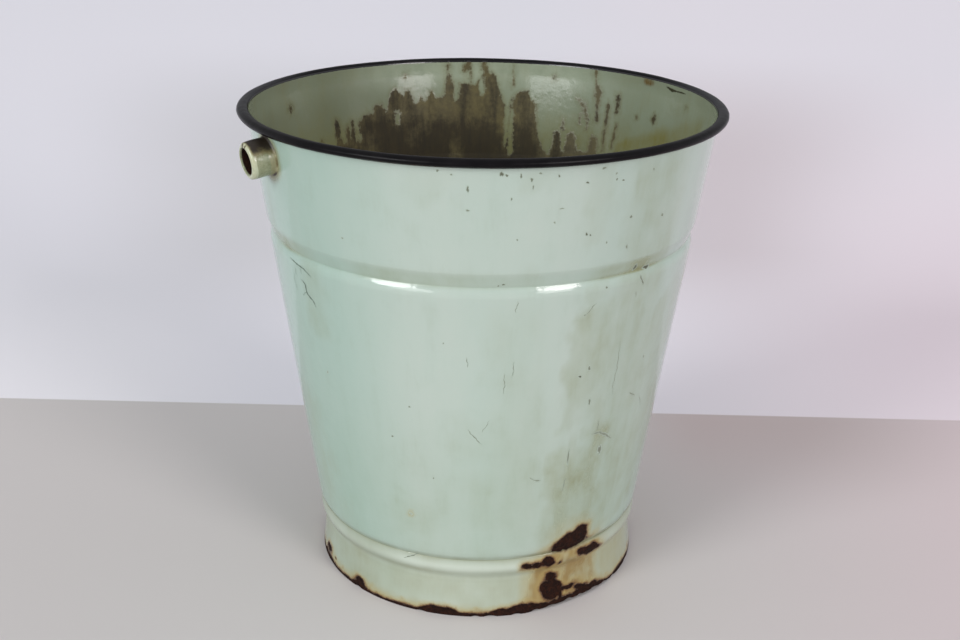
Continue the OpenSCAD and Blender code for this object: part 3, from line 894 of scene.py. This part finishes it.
def rim_material():
    k = Mat("enamel_rim_black")
    mid = k.noise(90, 4, 0.6, centred=True)
    thin = k.noise(520, 4, 0.65, centred=True)
    fine = k.noise(1600, 3, 0.6, centred=True)
    col = k.mix(k.step(mid, -0.5, 0.9), lin(9, 8, 10), lin(20, 18, 20))
    # painted reflection: a grey sheen on the rim's sides, with some dust
    col = k.mix(k.mul(k.attr("dust"), k.add(0.75, k.mul(thin, 0.4)), clamp=True), col, lin(51, 52, 55))
    worn = k.step(k.add(k.add(k.attr("worn"), k.mul(thin, 0.42)), k.mul(mid, 0.35)), 0.62, 0.95)
    col = k.mix(k.mul(worn, 0.9), col, k.mix(k.step(fine, -0.3, 0.6), lin(62, 34, 24), lin(96, 60, 36)))
    mint = k.step(k.add(k.attr("mint"), k.add(k.mul(thin, 0.35), k.mul(mid, 0.25))), 0.35, 0.62)
    col = k.mix(mint, col, k.mix(k.step(thin, -0.2, 0.9), lin(170, 176, 162), lin(120, 104, 70)))
    rough = k.add(0.30, k.add(k.mul(k.step(mid, -0.4, 0.9), 0.10), k.mul(worn, 0.40)))
    n = k.bump(k.noise(240, 3, 0.5), 0.0005, strength=0.22)
    n = k.bump(k.mul(worn, fine), 0.0002, n, 0.6)
    return k.finish(col, rough, n, specular=0.09)


outside = ellipse(ROLL_C, 3.5, 2.4, 180, 180 - 302, 34)
inside_roll = ellipse(ROLL_C, 2.7, 1.6, 180, 180 - 302, 16)
outside = outside[4:]
prof = np.vstack([[(upper_r(WALL_TOP), WALL_TOP)], inside_roll, outside[::-1]])
RIM_N = len(prof)


def rim_shape(T, R, Z, NR, NZ):
    x, y = xy(T, R)
    R = R + wobble(T, Z)
    k = np.zeros(RIM_N)
    k[18:] = 1.0
    k = k[:, None] * ramp(Z, 286.9, 288.5) * ramp(R, 138.2, 139.4)
    d = k * (0.10 * fbm(x, y, Z * 2, 30.0, 29, 2) + 0.06 * fbm(x, y, Z * 2, 6.0, 37, 3))
    return R + NR * d * 1.0, Z + NZ * d


def rim_attrs(T, R, Z):
    x, y = xy(T, R)
    mint = 0.0 * R
    # painted reflection on the rim's left and right sides, with some dust
    dust = ramp(np.abs(T), 60, 92) * ramp(-np.abs(T), -128, -104)
    under = ramp(-Z, -289.4, -288.2) * ramp(R, 139.6, 141)
    worn = 0.25 * under + 0.16 * ramp(Z, 290.5, 292.5)
    for t0, half, s in ((-12, 9, .60), (3, 5, .3), (128, 3, .8), (116, 5, .5), (-20, 3, .3), (200, 10, .3),
                        (250, 6, .35), (70, 8, .2)):
        worn = worn + s * np.exp(-(wrap(T - t0) / half) ** 2) * (0.3 + 0.7 * under)
    return {"mint": mint, "worn": worn + 0.0 * R, "dust": dust + 0.0 * R}


ts_rim = ring_angles(lambda t: 0.9)
rim = lathe("rolled_rim", prof, ts_rim, rim_material(), rim_shape, rim_attrs, closed=True, flip=False)

# ---- the foot ring -----------------------------------------------------------------------

top = [FOOT_OUT[-1] + (0.0, -0.25), FOOT_OUT[-1] + (-0.12, -0.03), (FOOT_OUT[-1] + FOOT_IN[-1]) / 2 + (0, 0.05)]
fo = resample(np.vstack([FOOT_OUT[:-1], [top[0]]]), lambda r, z: 0.7)
fi = resample(FOOT_IN[::-1], lambda r, z: 1.8 if z < 30 else 1.2)
prof = np.vstack([fo, top[1:], fi])
FOOT_N = len(fo)


def foot_shape(T, R, Z, NR, NZ):
    x, y = xy(T, R)
    out = np.zeros((len(R), 1))
    out[:FOOT_N] = 1.0
    rust = rust_at(T, Z, x, y)
    inner = ramp(rust, -0.3, 0.8)
    d = out * (0.05 * fbm(x, y, Z, 30.0, 6, 2)
               + inner * (-0.14 + 0.32 * fbm(x, y, Z, 3.0, 15, 3))
               + 0.13 * np.exp(-((rust + 0.7) / 0.6) ** 2))
    d = d * ramp(Z, 0.2, 1.6)
    d = d - (1 - out) * ramp(-Z, -9, -3) * 0.10 * (1 + fbm(x, y, Z, 4.0, 25, 3)) * ramp(Z, 0.2, 1.6)
    e = loss(T)
    Z2 = np.where(Z < 12, e + Z * (12 - e) / 12.0, Z)
    R2 = R + NR * d
    # the sheet thins towards the eaten edge
    low = ramp(-Z, -1.2, 0) * 0.12
    mid_r = 101.5
    R2 = R2 + (mid_r - R2) * low * 1.5
    return R2, np.maximum(Z2 + NZ * d * 0.4, 0.0)


def foot_attrs(T, R, Z):
    x, y = xy(T, R)
    out = np.zeros((len(R), 1))
    out[:FOOT_N] = 1.0
    rust = rust_at(T, Z, x, y)
    inner = 3.5 - Z * 0.55 + 2.6 * fbm(x, y, Z, 12.0, 27, 4)
    rust = np.where(out > 0.5, rust, np.maximum(rust, inner))
    side = ramp(T, 8, 24) * ramp(-T, -60, -48)
    # dark line in the joint above the foot ring: dirt with painted shade, since the enamel fills the joint
    joint_dirt_and_shade = np.exp(-((Z - 39.9) / 1.4) ** 2) * (0.42 + 0.4 * side)
    # painted shade: a soft dark line under the collar's bead
    shade_under_collar = np.exp(-((Z - 28.6) / 2.4) ** 2) * (0.16 + 0.18 * fbm(x, y, Z, 22.0, 39, 3))
    grime = 0.10 + 0.16 * fbm(x, y, Z * 0.8, 18.0, 43, 4) + 0.10 * ramp(-Z, -30, -22) * ramp(Z, 8, 24)
    grime = grime + 0.20 * ramp(fbm(x, y, Z, 26.0, 143, 3), 0.1, 0.8) * ramp(-Z, -33, -26)
    grime = np.maximum(grime, shade_under_collar * 1.2)
    # the collar's crest is kept clear of dirt near the front, for the painted highlight
    grime = grime * (1 - 0.75 * np.exp(-((Z - 34.0) / 2.6) ** 2) * ramp(-np.abs(wrap(T + 4)), -28, -18))
    grime = np.maximum(grime, (1 - out) * 0.6)
    a = np.interp(wrap(T), [-180, 14, 19, 24, 30, 38, 45, 49, 54, 180], [0, 0, .55, .9, .85, .62, .60, .25, 0, 0])
    amber = 1.7 * a * ramp(Z, 2, 8) * ramp(-Z, -39.5, -36) * (0.85 + 0.45 * fbm(x, y, Z * 0.6, 9.0, 45, 3))
    for t0 in (128, 158, 203, 236):
        amber = np.maximum(amber, 0.5 * np.exp(-(wrap(T - t0) / 6.0) ** 2) * ramp(-Z, -36, -20))
    amber = np.maximum(amber, 0.40 * ramp(-Z, -10, -3) * (0.7 + 0.6 * fbm(x, y, Z, 14.0, 49, 2)))
    amber = np.maximum(amber, 0.34 * ramp(T, 44, 52) * ramp(-T, -80, -66) * ramp(-Z, -34, -28))
    # painted highlight: a pale band along the collar's crest, strongest near the front, which also lightens the tone
    # there
    pale = np.exp(-((Z - 34.2) / 3.0) ** 2)
    collar_highlight = pale * (0.35 + 0.65 * ramp(T, -40, -22) * ramp(-T, -18, -12)) * ramp(-np.abs(T), -80, -60)
    tone = np.clip(painted_light_and_tone_at(T, Z, x, y) * 0.8 - 0.20 * pale + 0.10 + 0.2 * fbm(x, y, Z, 20.0, 145, 3), 0, 1)
    return {"rust": rust, "grime": np.clip(grime, 0, 1), "amber": np.clip(amber, 0, 1.25), "tone": tone,
            "mark": joint_dirt_and_shade, "pale": np.clip(0.34 * collar_highlight, 0, 1)}


ts_foot = ring_angles(lambda t: 0.42 if 12 <= t < 56 else 0.6 if -78 <= t < 78 else 1.1)
foot = lathe("foot_ring_skirt", prof, ts_foot, mat_foot, foot_shape, foot_attrs, closed=True)

# ---- the ears ------------------------------------------------------------------------------


def ear_material():
    k = Mat("enamel_ear_socket")
    mid = k.noise(160, 4, 0.6, centred=True)
    fine = k.noise(900, 4, 0.6, centred=True)
    beige = k.mix(k.step(mid, -0.5, 0.8), lin(160, 160, 128), lin(138, 134, 96))
    olive = k.mix(k.step(k.add(mid, fine), -0.6, 0.8), lin(148, 154, 126), lin(120, 124, 90))
    col = k.mix(k.step(k.add(k.attr("olive"), k.mul(mid, 0.35)), 0.25, 0.75), beige, olive)
    cream = k.step(k.add(k.attr("cream"), k.add(k.mul(mid, 0.22), k.mul(fine, 0.10))), 0.35, 0.65)
    col = k.mix(cream, col, k.mix(k.step(mid, -0.4, 0.8), lin(184, 192, 166), lin(162, 156, 118)))
    # soot and dirt, with painted shade on the top under the rim
    d = k.add(k.attr("dirt_and_shade"), k.add(k.mul(mid, 0.26), k.mul(fine, 0.12)))
    col = k.mix(k.step(d, 0.16, 0.60, 0.0, 0.9), col, lin(108, 99, 62))
    col = k.mix(k.step(d, 0.50, 0.95, 0.0, 0.97), col, lin(34, 26, 19))
    inner = k.step(k.add(k.attr("rust"), k.mul(fine, 0.4)), 0.3, 0.7)
    col = k.mix(inner, col, rust_colour(k))
    rough = k.add(k.mixf(k.step(d, 0.2, 0.8), 0.16, 0.5), k.mul(inner, 0.25))
    n = k.bump(k.add(k.noise(260, 3, 0.5), k.mul(inner, k.noise(900, 3, 0.6))), 0.0005, strength=0.5)
    return k.finish(col, rough, n)


mat_ear = ear_material()
TAU = math.atan(0.15)


def make_ear(name, side):
    r0, r1, length, mouth_out, mouth_in = 7.5, 10.6, 13.6, 2.2, 0.8
    sec = [(0.0, 0.6), (3.0, 0.35), (6.0, 0.2), (7.6, 0.1), (8.3, 0.15), (8.3, 0.45), (8.0, 0.75), (7.6, 1.1),
           (7.5, 1.5)]
    sec += [(7.5, s) for s in np.linspace(2.2, length - mouth_in - 0.4, 9)]
    sec += [tuple(p) for p in corner((r0, 0), (r0, length), (r1, length), mouth_in, 5)]
    sec += [tuple(p) for p in corner((r0, length), (r1, length), (r1, 0), mouth_out, 12)]
    sec += [(r1, s) for s in np.linspace(length - mouth_out - 0.8, 2.0, 9)]
    sec += [tuple(p) for p in corner((r1, length), (r1, 0.9), (r1 + 0.9, 0), 1.2, 6)]
    sec += [(r1 + 0.9, 0.0), (r1 + 1.2, -0.35)]
    sec = np.array(sec, float)
    n = 120
    al = np.linspace(0, 2 * math.pi, n, endpoint=False)
    RHO = np.repeat(sec[:, :1], n, 1)
    S = np.repeat(sec[:, 1:], n, 1)
    AL = np.broadcast_to(al, RHO.shape)
    yb, zc = RHO * np.cos(AL), RHO * np.sin(AL)
    # lumps in the thick enamel, and a slightly oval hand-made tube
    lump = fbm(yb, zc, S, 7.0, 55 + side, 3) * 0.16 * ramp(RHO, 7.4, 9.0) * ramp(S, 0.4, 2.5)
    RHO2 = np.minimum(RHO + lump, r1 + 1.2)
    yb, zc = RHO2 * np.cos(AL), RHO2 * np.sin(AL)
    fall = yb ** 2 / (2 * 137.3)
    near = ramp(-S, -5.0, 0.0)
    S2 = S - fall * near
    rx, rz = upper_r(274.6), 274.6
    X = rx + S2 * math.cos(TAU) + zc * math.sin(TAU)
    Z = rz - S2 * math.sin(TAU) + zc * math.cos(TAU)
    Y = yb
    V = np.stack([X, Y, Z], -1)
    if side < 0:
        V[..., 0] *= -1
        V[..., 1] *= -1
    up = np.sin(AL)
    in_bore = ramp(-RHO, -7.9, -7.6)
    wall_side = ramp(-S, -4.0, -0.6)
    rim_ring = ramp(S, length - 1.6, length - 0.4)
    lumpy = fbm(yb, zc, S, 5.0, 75 + side, 3)
    outer = ramp(RHO, 8.4, 9.2)
    # near-black top under the rim, soot with painted shade, and a darker line along the underside; creamy ring round
    # the mouth, olive middle, beige root
    dirt_and_shade = ramp(up + 0.20 * lumpy, -0.12, 0.82) * ramp(-S, -13.4, -11.0) * outer
    dirt_and_shade = np.maximum(dirt_and_shade, 0.45 * ramp(-up, 0.86, 0.99) * ramp(-S, -12.4, -9.4) * outer)
    dirt_and_shade = np.maximum(dirt_and_shade, 0.62 * wall_side * ramp(-np.abs(up + 0.1), -0.5, -0.1) * ramp(-S, -1.4, -0.4))
    crack = np.exp(-((np.degrees(AL) - 96) / 7.0) ** 2) + np.exp(-((np.degrees(AL) - 74) / 4.0) ** 2)
    dirt_and_shade = np.maximum(dirt_and_shade, 0.95 * crack * rim_ring)
    cream = ramp(S, length - 5.0 - 2.5 * lumpy, length - 1.2) * ramp(RHO, 8.0, 8.5) * (1.0 - 0.45 * ramp(lumpy, 0.1, 0.7))
    olive = ramp(S, 2.2, 4.4) * (1 - 0.6 * cream) + 0.0 * up
    rust = 1.1 * in_bore * ramp(-S, -13.3, -12.0)
    rust = np.maximum(rust, 0.95 * wall_side * ramp(-up, 0.45, 0.85) * ramp(-S, -2.2, -0.6) * (0.8 + 0.4 * lumpy))
    m = len(sec)
    faces = grid_faces(m, n, flip=True)
    faces.append(list(range(n))[::1])
    vals = {"dirt_and_shade": dirt_and_shade, "rust": rust, "cream": cream, "olive": olive}
    vals = {kk: np.broadcast_to(v, RHO.shape).reshape(-1) for kk, v in vals.items()}
    return make_object(name, V.reshape(-1, 3), faces, mat_ear, vals)


ear_l = make_ear("ear_left_socket", -1)
ear_r = make_ear("ear_right_socket", 1)

# ---- chips and scratches in the enamel -------------------------------------------------------
# Small damage is too fine for the wall's own mesh, so each mark is a patch that follows the wall.

CHIPS = [  # t, z, half-width and half-height in mm, depth of colour
    (4, 284, 1.3, 1.9, .9), (5.1, 283.2, .9, 1.1, .8), (8.1, 282.8, .8, 1.6, .7), (10.4, 280.6, .8, 1.9, .7),
    (10.8, 276.6, .6, 1.5, .6), (12.2, 284, 1.1, .8, .5), (-3, 275.6, 1.0, 2.0, .7), (-9.3, 285, 1.0, .9, .6),
    (-6.4, 283.2, .7, .8, .5), (6.3, 270.4, .7, .9, .6), (16.3, 282, .7, 1.0, .8), (23, 277.2, 1.2, .8, .9),
    (26.6, 284.2, 1.8, .9, .5), (30, 280.4, .8, .9, .5), (30.3, 277, .7, 1.1, .7), (32.1, 276, 1.0, .7, .8),
    (-3, 264, 1.4, .7, .5), (17.6, 264, 1.6, .6, .35), (24.3, 248, .9, 1.2, .95), (25.3, 247.2, .7, .8, .8),
    (36.1, 254, 1.1, 1.4, .6), (47.2, 250, 1.8, 1.2, .5), (8, 247.6, .6, .8, .5), (30, 241.4, .6, 1.1, .5),
    (16.2, 256.4, .8, .8, .35), (36.3, 236.6, 1.0, 1.6, .5), (40.8, 279, .8, 1.3, .45),
    (5.4, 221.4, 1.1, .8, .9), (4.2, 220.6, .7, .6, .8), (45.8, 219.4, 3.2, 1.8, 1.0), (41.2, 221.8, 1.6, 2.6, .9),
    (32, 214.2, .9, 1.0, .7), (27.6, 160.8, 1.3, 1.0, 1.0), (30.2, 165, 1.2, 2.0, .6), (31.9, 142.6, 1.2, 2.6, .6),
    (-21, 69, 1.3, 1.1, .12), (62, 43.6, 1.6, 1.2, .6), (60.5, 42.6, .9, .8, .6), (-25, 121, 1.0, .9, .7), (-19, 143, .9, .9, .6), (-13, 97, .8, .8, .6),
    (38.8, 106.6, 2.0, 4.2, .6), (27.2, 108, .8, 8.0, .5), (18, 94.8, 2.0, .8, .45), (26.6, 199.6, .8, .8, .5),
    (-34, 240, .9, .8, .4), (-47, 150, .9, 1.2, .5), (52, 160, 1.0, 1.4, .4), (-9, 186, .6, .7, .5),
    # away from the camera
    (84, 268, 1.4, 1.8, .9), (92, 236, 1.1, 1.0, .8), (101, 171, 1.8, 2.6, .9), (137, 120, 2.2, 1.6, .9),
    (146, 262, 1.6, 1.3, .8), (152, 205, 1.0, 1.8, .8), (171, 244, 1.7, 1.2, .9), (188, 96, 2.6, 2.0, 1.0),
    (196, 231, 1.2, 1.2, .8), (214, 180, 1.4, 2.2, .8), (229, 130, 2.0, 1.4, .9), (246, 252, 1.3, 1.5, .9),
    (262, 200, 1.2, 1.6, .7)]
SCRATCHES = [  # points of (t, z), half-width in mm, depth of colour
    ([(-3.1, 178), (-3.0, 172)], .32, .6), ([(6.4, 168), (6.6, 161), (6.5, 155)], .3, .55),
    ([(8.9, 212), (8.5, 205)], .3, .5), ([(8.8, 175), (8.6, 165)], .28, .5),
    ([(-3.0, 132), (-1.2, 127), (1.0, 122)], .42, .6), ([(1.0, 130), (3.0, 138)], .3, .5),
    ([(-57.5, 215), (-54, 213.6), (-50.4, 212.6), (-47.4, 209)], 1.0, .60), ([(-52.5, 212), (-52.0, 208.5)], .4, .6),
    ([(-55.5, 211), (-55.0, 206)], .4, .55), ([(-53.0, 205), (-50.8, 202.6), (-51.2, 198), (-48.6, 194.5), (-47.4, 191)], 1.25, .70),
    ([(-51.2, 198), (-53.4, 194.6)], .4, .6), ([(-56.5, 206), (-56.8, 200), (-55.8, 196)], .35, .45),
    ([(43.2, 216.4), (44.0, 213), (44.7, 209.6)], .95, .6), ([(42.2, 207), (42.8, 203.4)], .45, .55),
    ([(29.6, 206), (28.2, 203), (27.0, 199.4)], .5, .5), ([(39.8, 177), (40.2, 160), (39.8, 150), (40.2, 142)], .5, .35),
    ([(34.6, 119.4), (37.4, 119.2), (40.6, 115.4), (43.0, 111.6)], 1.3, .42),
    ([(36.6, 128), (36.3, 121)], .5, .6), ([(15.2, 98), (17, 95.4), (19, 94.6)], .45, .5),
    ([(48, 139), (51.4, 134.6)], .7, .45), ([(54.6, 132), (56.6, 124)], .5, .4),
    ([(-25.0, 35.0), (-22.4, 37.2), (-19.4, 40.4)], .5, .8), ([(27.3, 93), (26.6, 84)], .5, .55),
    ([(97, 150), (101, 138), (102, 126)], .5, .8), ([(168, 190), (174, 176)], .5, .8),
    ([(206, 150), (209, 141), (208.6, 132)], .5, .7), ([(240, 120), (236, 108)], .6, .8),
    ([(130, 232), (134, 242), (140, 246)], .5, .7)]


def on_wall(t, z, lift):
    t, z = np.asarray(t, float), np.asarray(z, float)
    r = np.interp(z, OUTSIDE[OUTSIDE[:, 1] > 39.5, 1], OUTSIDE[OUTSIDE[:, 1] > 39.5, 0])
    foot = z < 39.3
    if np.any(foot):
        order = np.argsort(FOOT_OUT[:, 1])
        r = np.where(foot, np.interp(z, FOOT_OUT[order, 1], FOOT_OUT[order, 0]), r)
    x, y = xy(t, r)
    r = r + np.where(foot, 0.05 * fbm(x, y, z, 30.0, 6, 2),
                     wobble(t, z) + 0.07 * fbm(x, y, z * 0.45, 46.0, 5, 2) * ramp(z, 44, 70)) + lift
    a = np.radians(t - FRONT)
    return np.stack([r * np.cos(a), r * np.sin(a), z + 0.0 * r], -1), r


def mark_material():
    k = Mat("chipped_enamel")
    fine = k.noise(1400, 3, 0.6, centred=True)
    m = k.add(k.attr("core"), k.mul(fine, 0.22))
    deep = k.mix(k.attr("dark"), lin(148, 160, 144), lin(80, 84, 66))
    deep = k.mix(k.attr("green"), deep, k.mix(k.attr("dark"), lin(132, 158, 144), lin(60, 78, 68)))
    col = k.mix(k.step(m, 0.0, 0.95), lin(162, 178, 165), deep)
    n = k.bump(fine, 0.00012, strength=0.5)
    return k.finish(col, 0.55, n)


mat_mark = mark_material()


def make_chips():
    rng = np.random.default_rng(20)
    V, F, core, dark = [], [], [], []
    for t0, z0, a, b, d in CHIPS:
        n = 18
        al = np.linspace(0, 2 * math.pi, n, endpoint=False)
        ph = rng.uniform(0, 6.28, 4)
        edge = 1 + 0.20 * np.sin(2 * al + ph[0]) + 0.17 * np.sin(3 * al + ph[1]) + 0.12 * np.sin(5 * al + ph[2]) \
            + 0.07 * np.sin(7 * al + ph[3])
        base = len(V)
        r0 = float(np.interp(z0, OUTSIDE[20:, 1], OUTSIDE[20:, 0])) if z0 > 43 else 102.0
        for rho, lift, c in ((1.0, 0.03, 0.0), (0.72, 0.06, 0.5), (0.36, 0.07, 1.0)):
            dx, dz = 0.9 * a * rho * edge * np.cos(al), 0.9 * b * rho * edge * np.sin(al)
            P, _ = on_wall(t0 + np.degrees(dx / r0), z0 + dz, lift)
            V += P.tolist()
            core += [c] * n
            dark += [d] * n
        P, _ = on_wall(np.array([t0]), np.array([z0]), 0.07)
        V += P.tolist()
        core.append(1.0)
        dark.append(d)
        for k in range(2):
            for j in range(n):
                j2 = (j + 1) % n
                F.append([base + k * n + j, base + k * n + j2, base + (k + 1) * n + j2, base + (k + 1) * n + j])
        for j in range(n):
            F.append([base + 2 * n + j, base + 2 * n + (j + 1) % n, base + 3 * n])
    return make_object("enamel_chips", np.array(V), F, mat_mark,
                       {"core": np.array(core), "dark": np.array(dark), "green": np.zeros(len(V))})


def make_scratches():
    rng = np.random.default_rng(7)
    V, F, core, dark, green = [], [], [], [], []
    for pts, half, d in SCRATCHES:
        pts = np.array(pts, float)
        steps = np.hypot(np.radians(np.diff(pts[:, 0])) * 115, np.diff(pts[:, 1]))
        s = np.concatenate([[0], np.cumsum(steps)])
        n = max(6, int(s[-1] / 0.6))
        u = np.linspace(0, s[-1], n)
        t, z = np.interp(u, s, pts[:, 0]), np.interp(u, s, pts[:, 1])
        t = t + np.degrees(0.28 * np.sin(u * 0.9 + rng.uniform(0, 6)) + 0.15 * np.sin(u * 2.3 + rng.uniform(0, 6))) / 115
        w = half * np.sin(np.pi * np.clip(u / s[-1], 0.02, 0.98)) ** 0.5 * (0.75 + 0.25 * np.sin(u * 1.7 + rng.uniform(0, 6)))
        tx, tz = np.gradient(np.radians(t) * 115), np.gradient(z)
        ln = np.hypot(tx, tz)
        nx, nz = -tz / ln, tx / ln
        base = len(V)
        for m, lift, c in ((-1.0, 0.03, 0.0), (-0.4, 0.06, 0.9), (0.4, 0.06, 0.9), (1.0, 0.03, 0.0)):
            P, _ = on_wall(t + np.degrees(nx * w * m / 115), z + nz * w * m, lift)
            V += P.tolist()
            core += [c] * n
            dark += [d] * n
            green += [1.0 if -80 < pts[0, 0] < -28 else 0.0] * n
        for k in range(3):
            for j in range(n - 1):
                F.append([base + k * n + j, base + (k + 1) * n + j, base + (k + 1) * n + j + 1, base + k * n + j + 1])
    return make_object("scratches", np.array(V), F, mat_mark,
                       {"core": np.array(core), "dark": np.array(dark), "green": np.array(green)})


def face_outwards(ob):
    """Turn any face whose normal points to the pail's axis."""
    me = ob.data
    turned = [p.index for p in me.polygons if p.normal.x * p.center.x + p.normal.y * p.center.y < 0]
    for i in turned:
        me.polygons[i].flip()
    me.update()


chips = make_chips()
scratches = make_scratches()
for ob in (chips, scratches):
    face_outwards(ob)

# ---- pieces to the frame ------------------------------------------------------------------

for ob, node, slot in ((wall, "body", "enamel_body"), (inside, "body", "enamel_body"), (rim, "body", "enamel_body"),
                       (foot, "foot_ring", "enamel_foot"), (ear_l, "ear_left", "enamel_ear"),
                       (ear_r, "ear_right", "enamel_ear"), (chips, "body", "enamel_body"),
                       (scratches, "body", "enamel_body")):
    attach(ob, "root")
    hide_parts(node)

# ---- floor ----------------------------------------------------------------------------------

YAW = math.radians(-31.0)


def floor_material():
    k = Mat("studio_floor")
    sep = k.nt.nodes.new("ShaderNodeSeparateXYZ")
    k.put(sep.inputs[0], k.P)
    a = YAW - math.radians(1.087)
    d = k.add(k.mul(sep.outputs[0], -math.sin(a)), k.mul(sep.outputs[1], math.cos(a)))
    e = k.add(k.mul(sep.outputs[0], math.cos(a)), k.mul(sep.outputs[1], math.sin(a)))
    far = k.step(d, 0.1932, 0.1956)
    near_c = k.mix(k.noise(1.2, 2, 0.5), lin(210, 207, 205), lin(215, 210, 209))
    near_c = k.mix(k.mul(k.step(e, 0.05, 0.45), k.step(e, 0.8, 2.5, 1.0, 0.0)), near_c, lin(226, 210, 213))
    # painted shadow on the table just right of the pail
    near_c = k.mix(k.mul(k.step(d, 0.02, 0.19), k.mul(k.step(e, 0.10, 0.18), k.step(e, 0.24, 0.40, 1.0, 0.0))),
                   near_c, lin(209, 196, 195))
    far_c = k.mix(k.noise(0.8, 2, 0.5), lin(239, 239, 246), lin(243, 242, 249))
    reach = k.math("DIVIDE", k.math("ABSOLUTE", e), k.add(d, 0.787))
    # painted light: the backdrop lighter towards its sides near the table line
    far_c = k.mix(k.mul(k.step(reach, 0.16, 0.32), k.step(d, 0.25, 0.75, 1.0, 0.0)), far_c, lin(250, 249, 254))
    # painted shadow: the backdrop darker behind and beside the pail
    low = k.mul(k.step(reach, 0.18, 0.36, 1.0, 0.0), k.mul(k.step(d, 0.30, 0.65), k.step(d, 1.0, 2.0, 1.0, 0.0)))
    far_c = k.mix(low, far_c, k.mix(k.step(e, 0.0, 0.3), lin(221, 221, 225), lin(214, 206, 210)))
    # painted light: the backdrop lighter and pinker on the right, where a sun's shadow falls
    keep = k.step(e, 1.2, 3.5, 1.0, 0.0)
    keep = k.mul(keep, k.sub(1.0, k.mul(low, 0.55)))
    far_c = k.mix(k.mul(k.step(e, 0.02, 0.45), k.mul(keep, k.step(d, 0.2, 1.8, 1.0, 0.25))), far_c, lin(252, 239, 247))
    col = k.mix(far, near_c, far_c)
    n = k.bump(k.noise(700, 2, 0.5), 0.00005, strength=0.3)
    return k.finish(col, 0.62, n, specular=0.25)


s = 40.0
floor = make_object("studio_floor", np.array([(-s, -s, 0), (s, -s, 0), (s, s, 0), (-s, s, 0)]) * 1000.0,
                    [[0, 1, 2, 3]], floor_material(), smooth=False)

# ---- camera -----------------------------------------------------------------------------------

CAM_F, CAM_D, CAM_H, CAM_TILT, CAM_ROLL = 1333.0, 0.786842, 0.455335, 0.36762, 0.0154554
turn = Matrix.Rotation(YAW, 3, "Z")
fw = np.array([0, math.cos(CAM_TILT), -math.sin(CAM_TILT)])
right = np.array([1.0, 0, 0])
up = np.cross(right, fw)
r2 = math.cos(CAM_ROLL) * right + math.sin(CAM_ROLL) * up
u2 = -math.sin(CAM_ROLL) * right + math.cos(CAM_ROLL) * up
rot = np.array(turn)
cols = [rot @ r2, rot @ u2, rot @ -fw, rot @ np.array([0, -CAM_D, CAM_H])]
cam_data = bpy.data.cameras.new("camera")
cam_data.sensor_width = 36.0
cam_data.sensor_fit = "HORIZONTAL"
cam_data.lens = CAM_F / 960.0 * 36.0
cam = bpy.data.objects.new("camera", cam_data)
cam.matrix_world = Matrix([[cols[j][i] for j in range(4)] for i in range(3)] + [[0, 0, 0, 1]])
bpy.context.scene.collection.objects.link(cam)
bpy.context.scene.camera = cam

# ---- light --------------------------------------------------------------------------------------


def sun(name, azimuth, elevation, angle, strength, colour):
    """azimuth in view degrees, 0 behind the camera and positive to its right."""
    d = bpy.data.lights.new(name, "SUN")
    d.angle = math.radians(angle)
    d.energy = strength
    d.color = colour
    a = math.radians(azimuth - FRONT)
    e = math.radians(elevation)
    v = Matrix.Rotation(a, 3, "Z") @ Matrix.Rotation(math.pi / 2 - e, 3, "Y")
    ob = bpy.data.objects.new(name, d)
    ob.matrix_world = v.to_4x4()
    bpy.context.scene.collection.objects.link(ob)
    return ob


sun("window_left", -48, 21, 23, 1.46, (0.98, 1.0, 1.0))
sun("window_right", 41.5, 21, 22, 1.32, (1.0, 0.945, 0.94))
sun("window_left_low", -36, 7, 24, 0.52, (0.98, 1.0, 1.0))
sun("window_right_low", 38, 7, 19, 0.38, (1.0, 0.965, 0.965))

world = bpy.data.worlds.new("studio_world")
bpy.context.scene.world = world
world.use_nodes = True
wt = world.node_tree
bg = wt.nodes["Background"]
bg.inputs["Color"].default_value = (0.96, 0.96, 1.0, 1.0)


def world_math(op, a, b, c=None):
    n = wt.nodes.new("ShaderNodeMath")
    n.operation = op
    for sock, v in zip(n.inputs, (a, b, c)):
        if isinstance(v, bpy.types.NodeSocket):
            wt.links.new(v, sock)
        elif v is not None:
            sock.default_value = v
    return n.outputs[0]


def world_step(x, a, b, hi):
    n = wt.nodes.new("ShaderNodeMapRange")
    n.interpolation_type = "SMOOTHSTEP"
    wt.links.new(x, n.inputs["Value"])
    for key, v in (("From Min", a), ("From Max", b), ("To Min", 0.0), ("To Max", hi)):
        n.inputs[key].default_value = v
    return n.outputs["Result"]


direction = wt.nodes.new("ShaderNodeTexCoord")
parts = wt.nodes.new("ShaderNodeSeparateXYZ")
wt.links.new(direction.outputs["Generated"], parts.inputs[0])
side = world_math("ADD", world_math("MULTIPLY", parts.outputs[0], math.cos(YAW)),
                  world_math("MULTIPLY", parts.outputs[1], math.sin(YAW)))
side = world_math("ABSOLUTE", side, 0.0)
# pale walls to the left and right, a dimmer room in front and behind, a soft ceiling
level = world_math("ADD", world_step(side, 0.45, 0.92, 0.42), world_step(parts.outputs[2], 0.50, 0.95, 0.24))
wt.links.new(world_math("ADD", level, 0.30), bg.inputs["Strength"])

bpy.context.scene.view_settings.view_transform = "Standard"
bpy.context.scene.view_settings.look = "None"
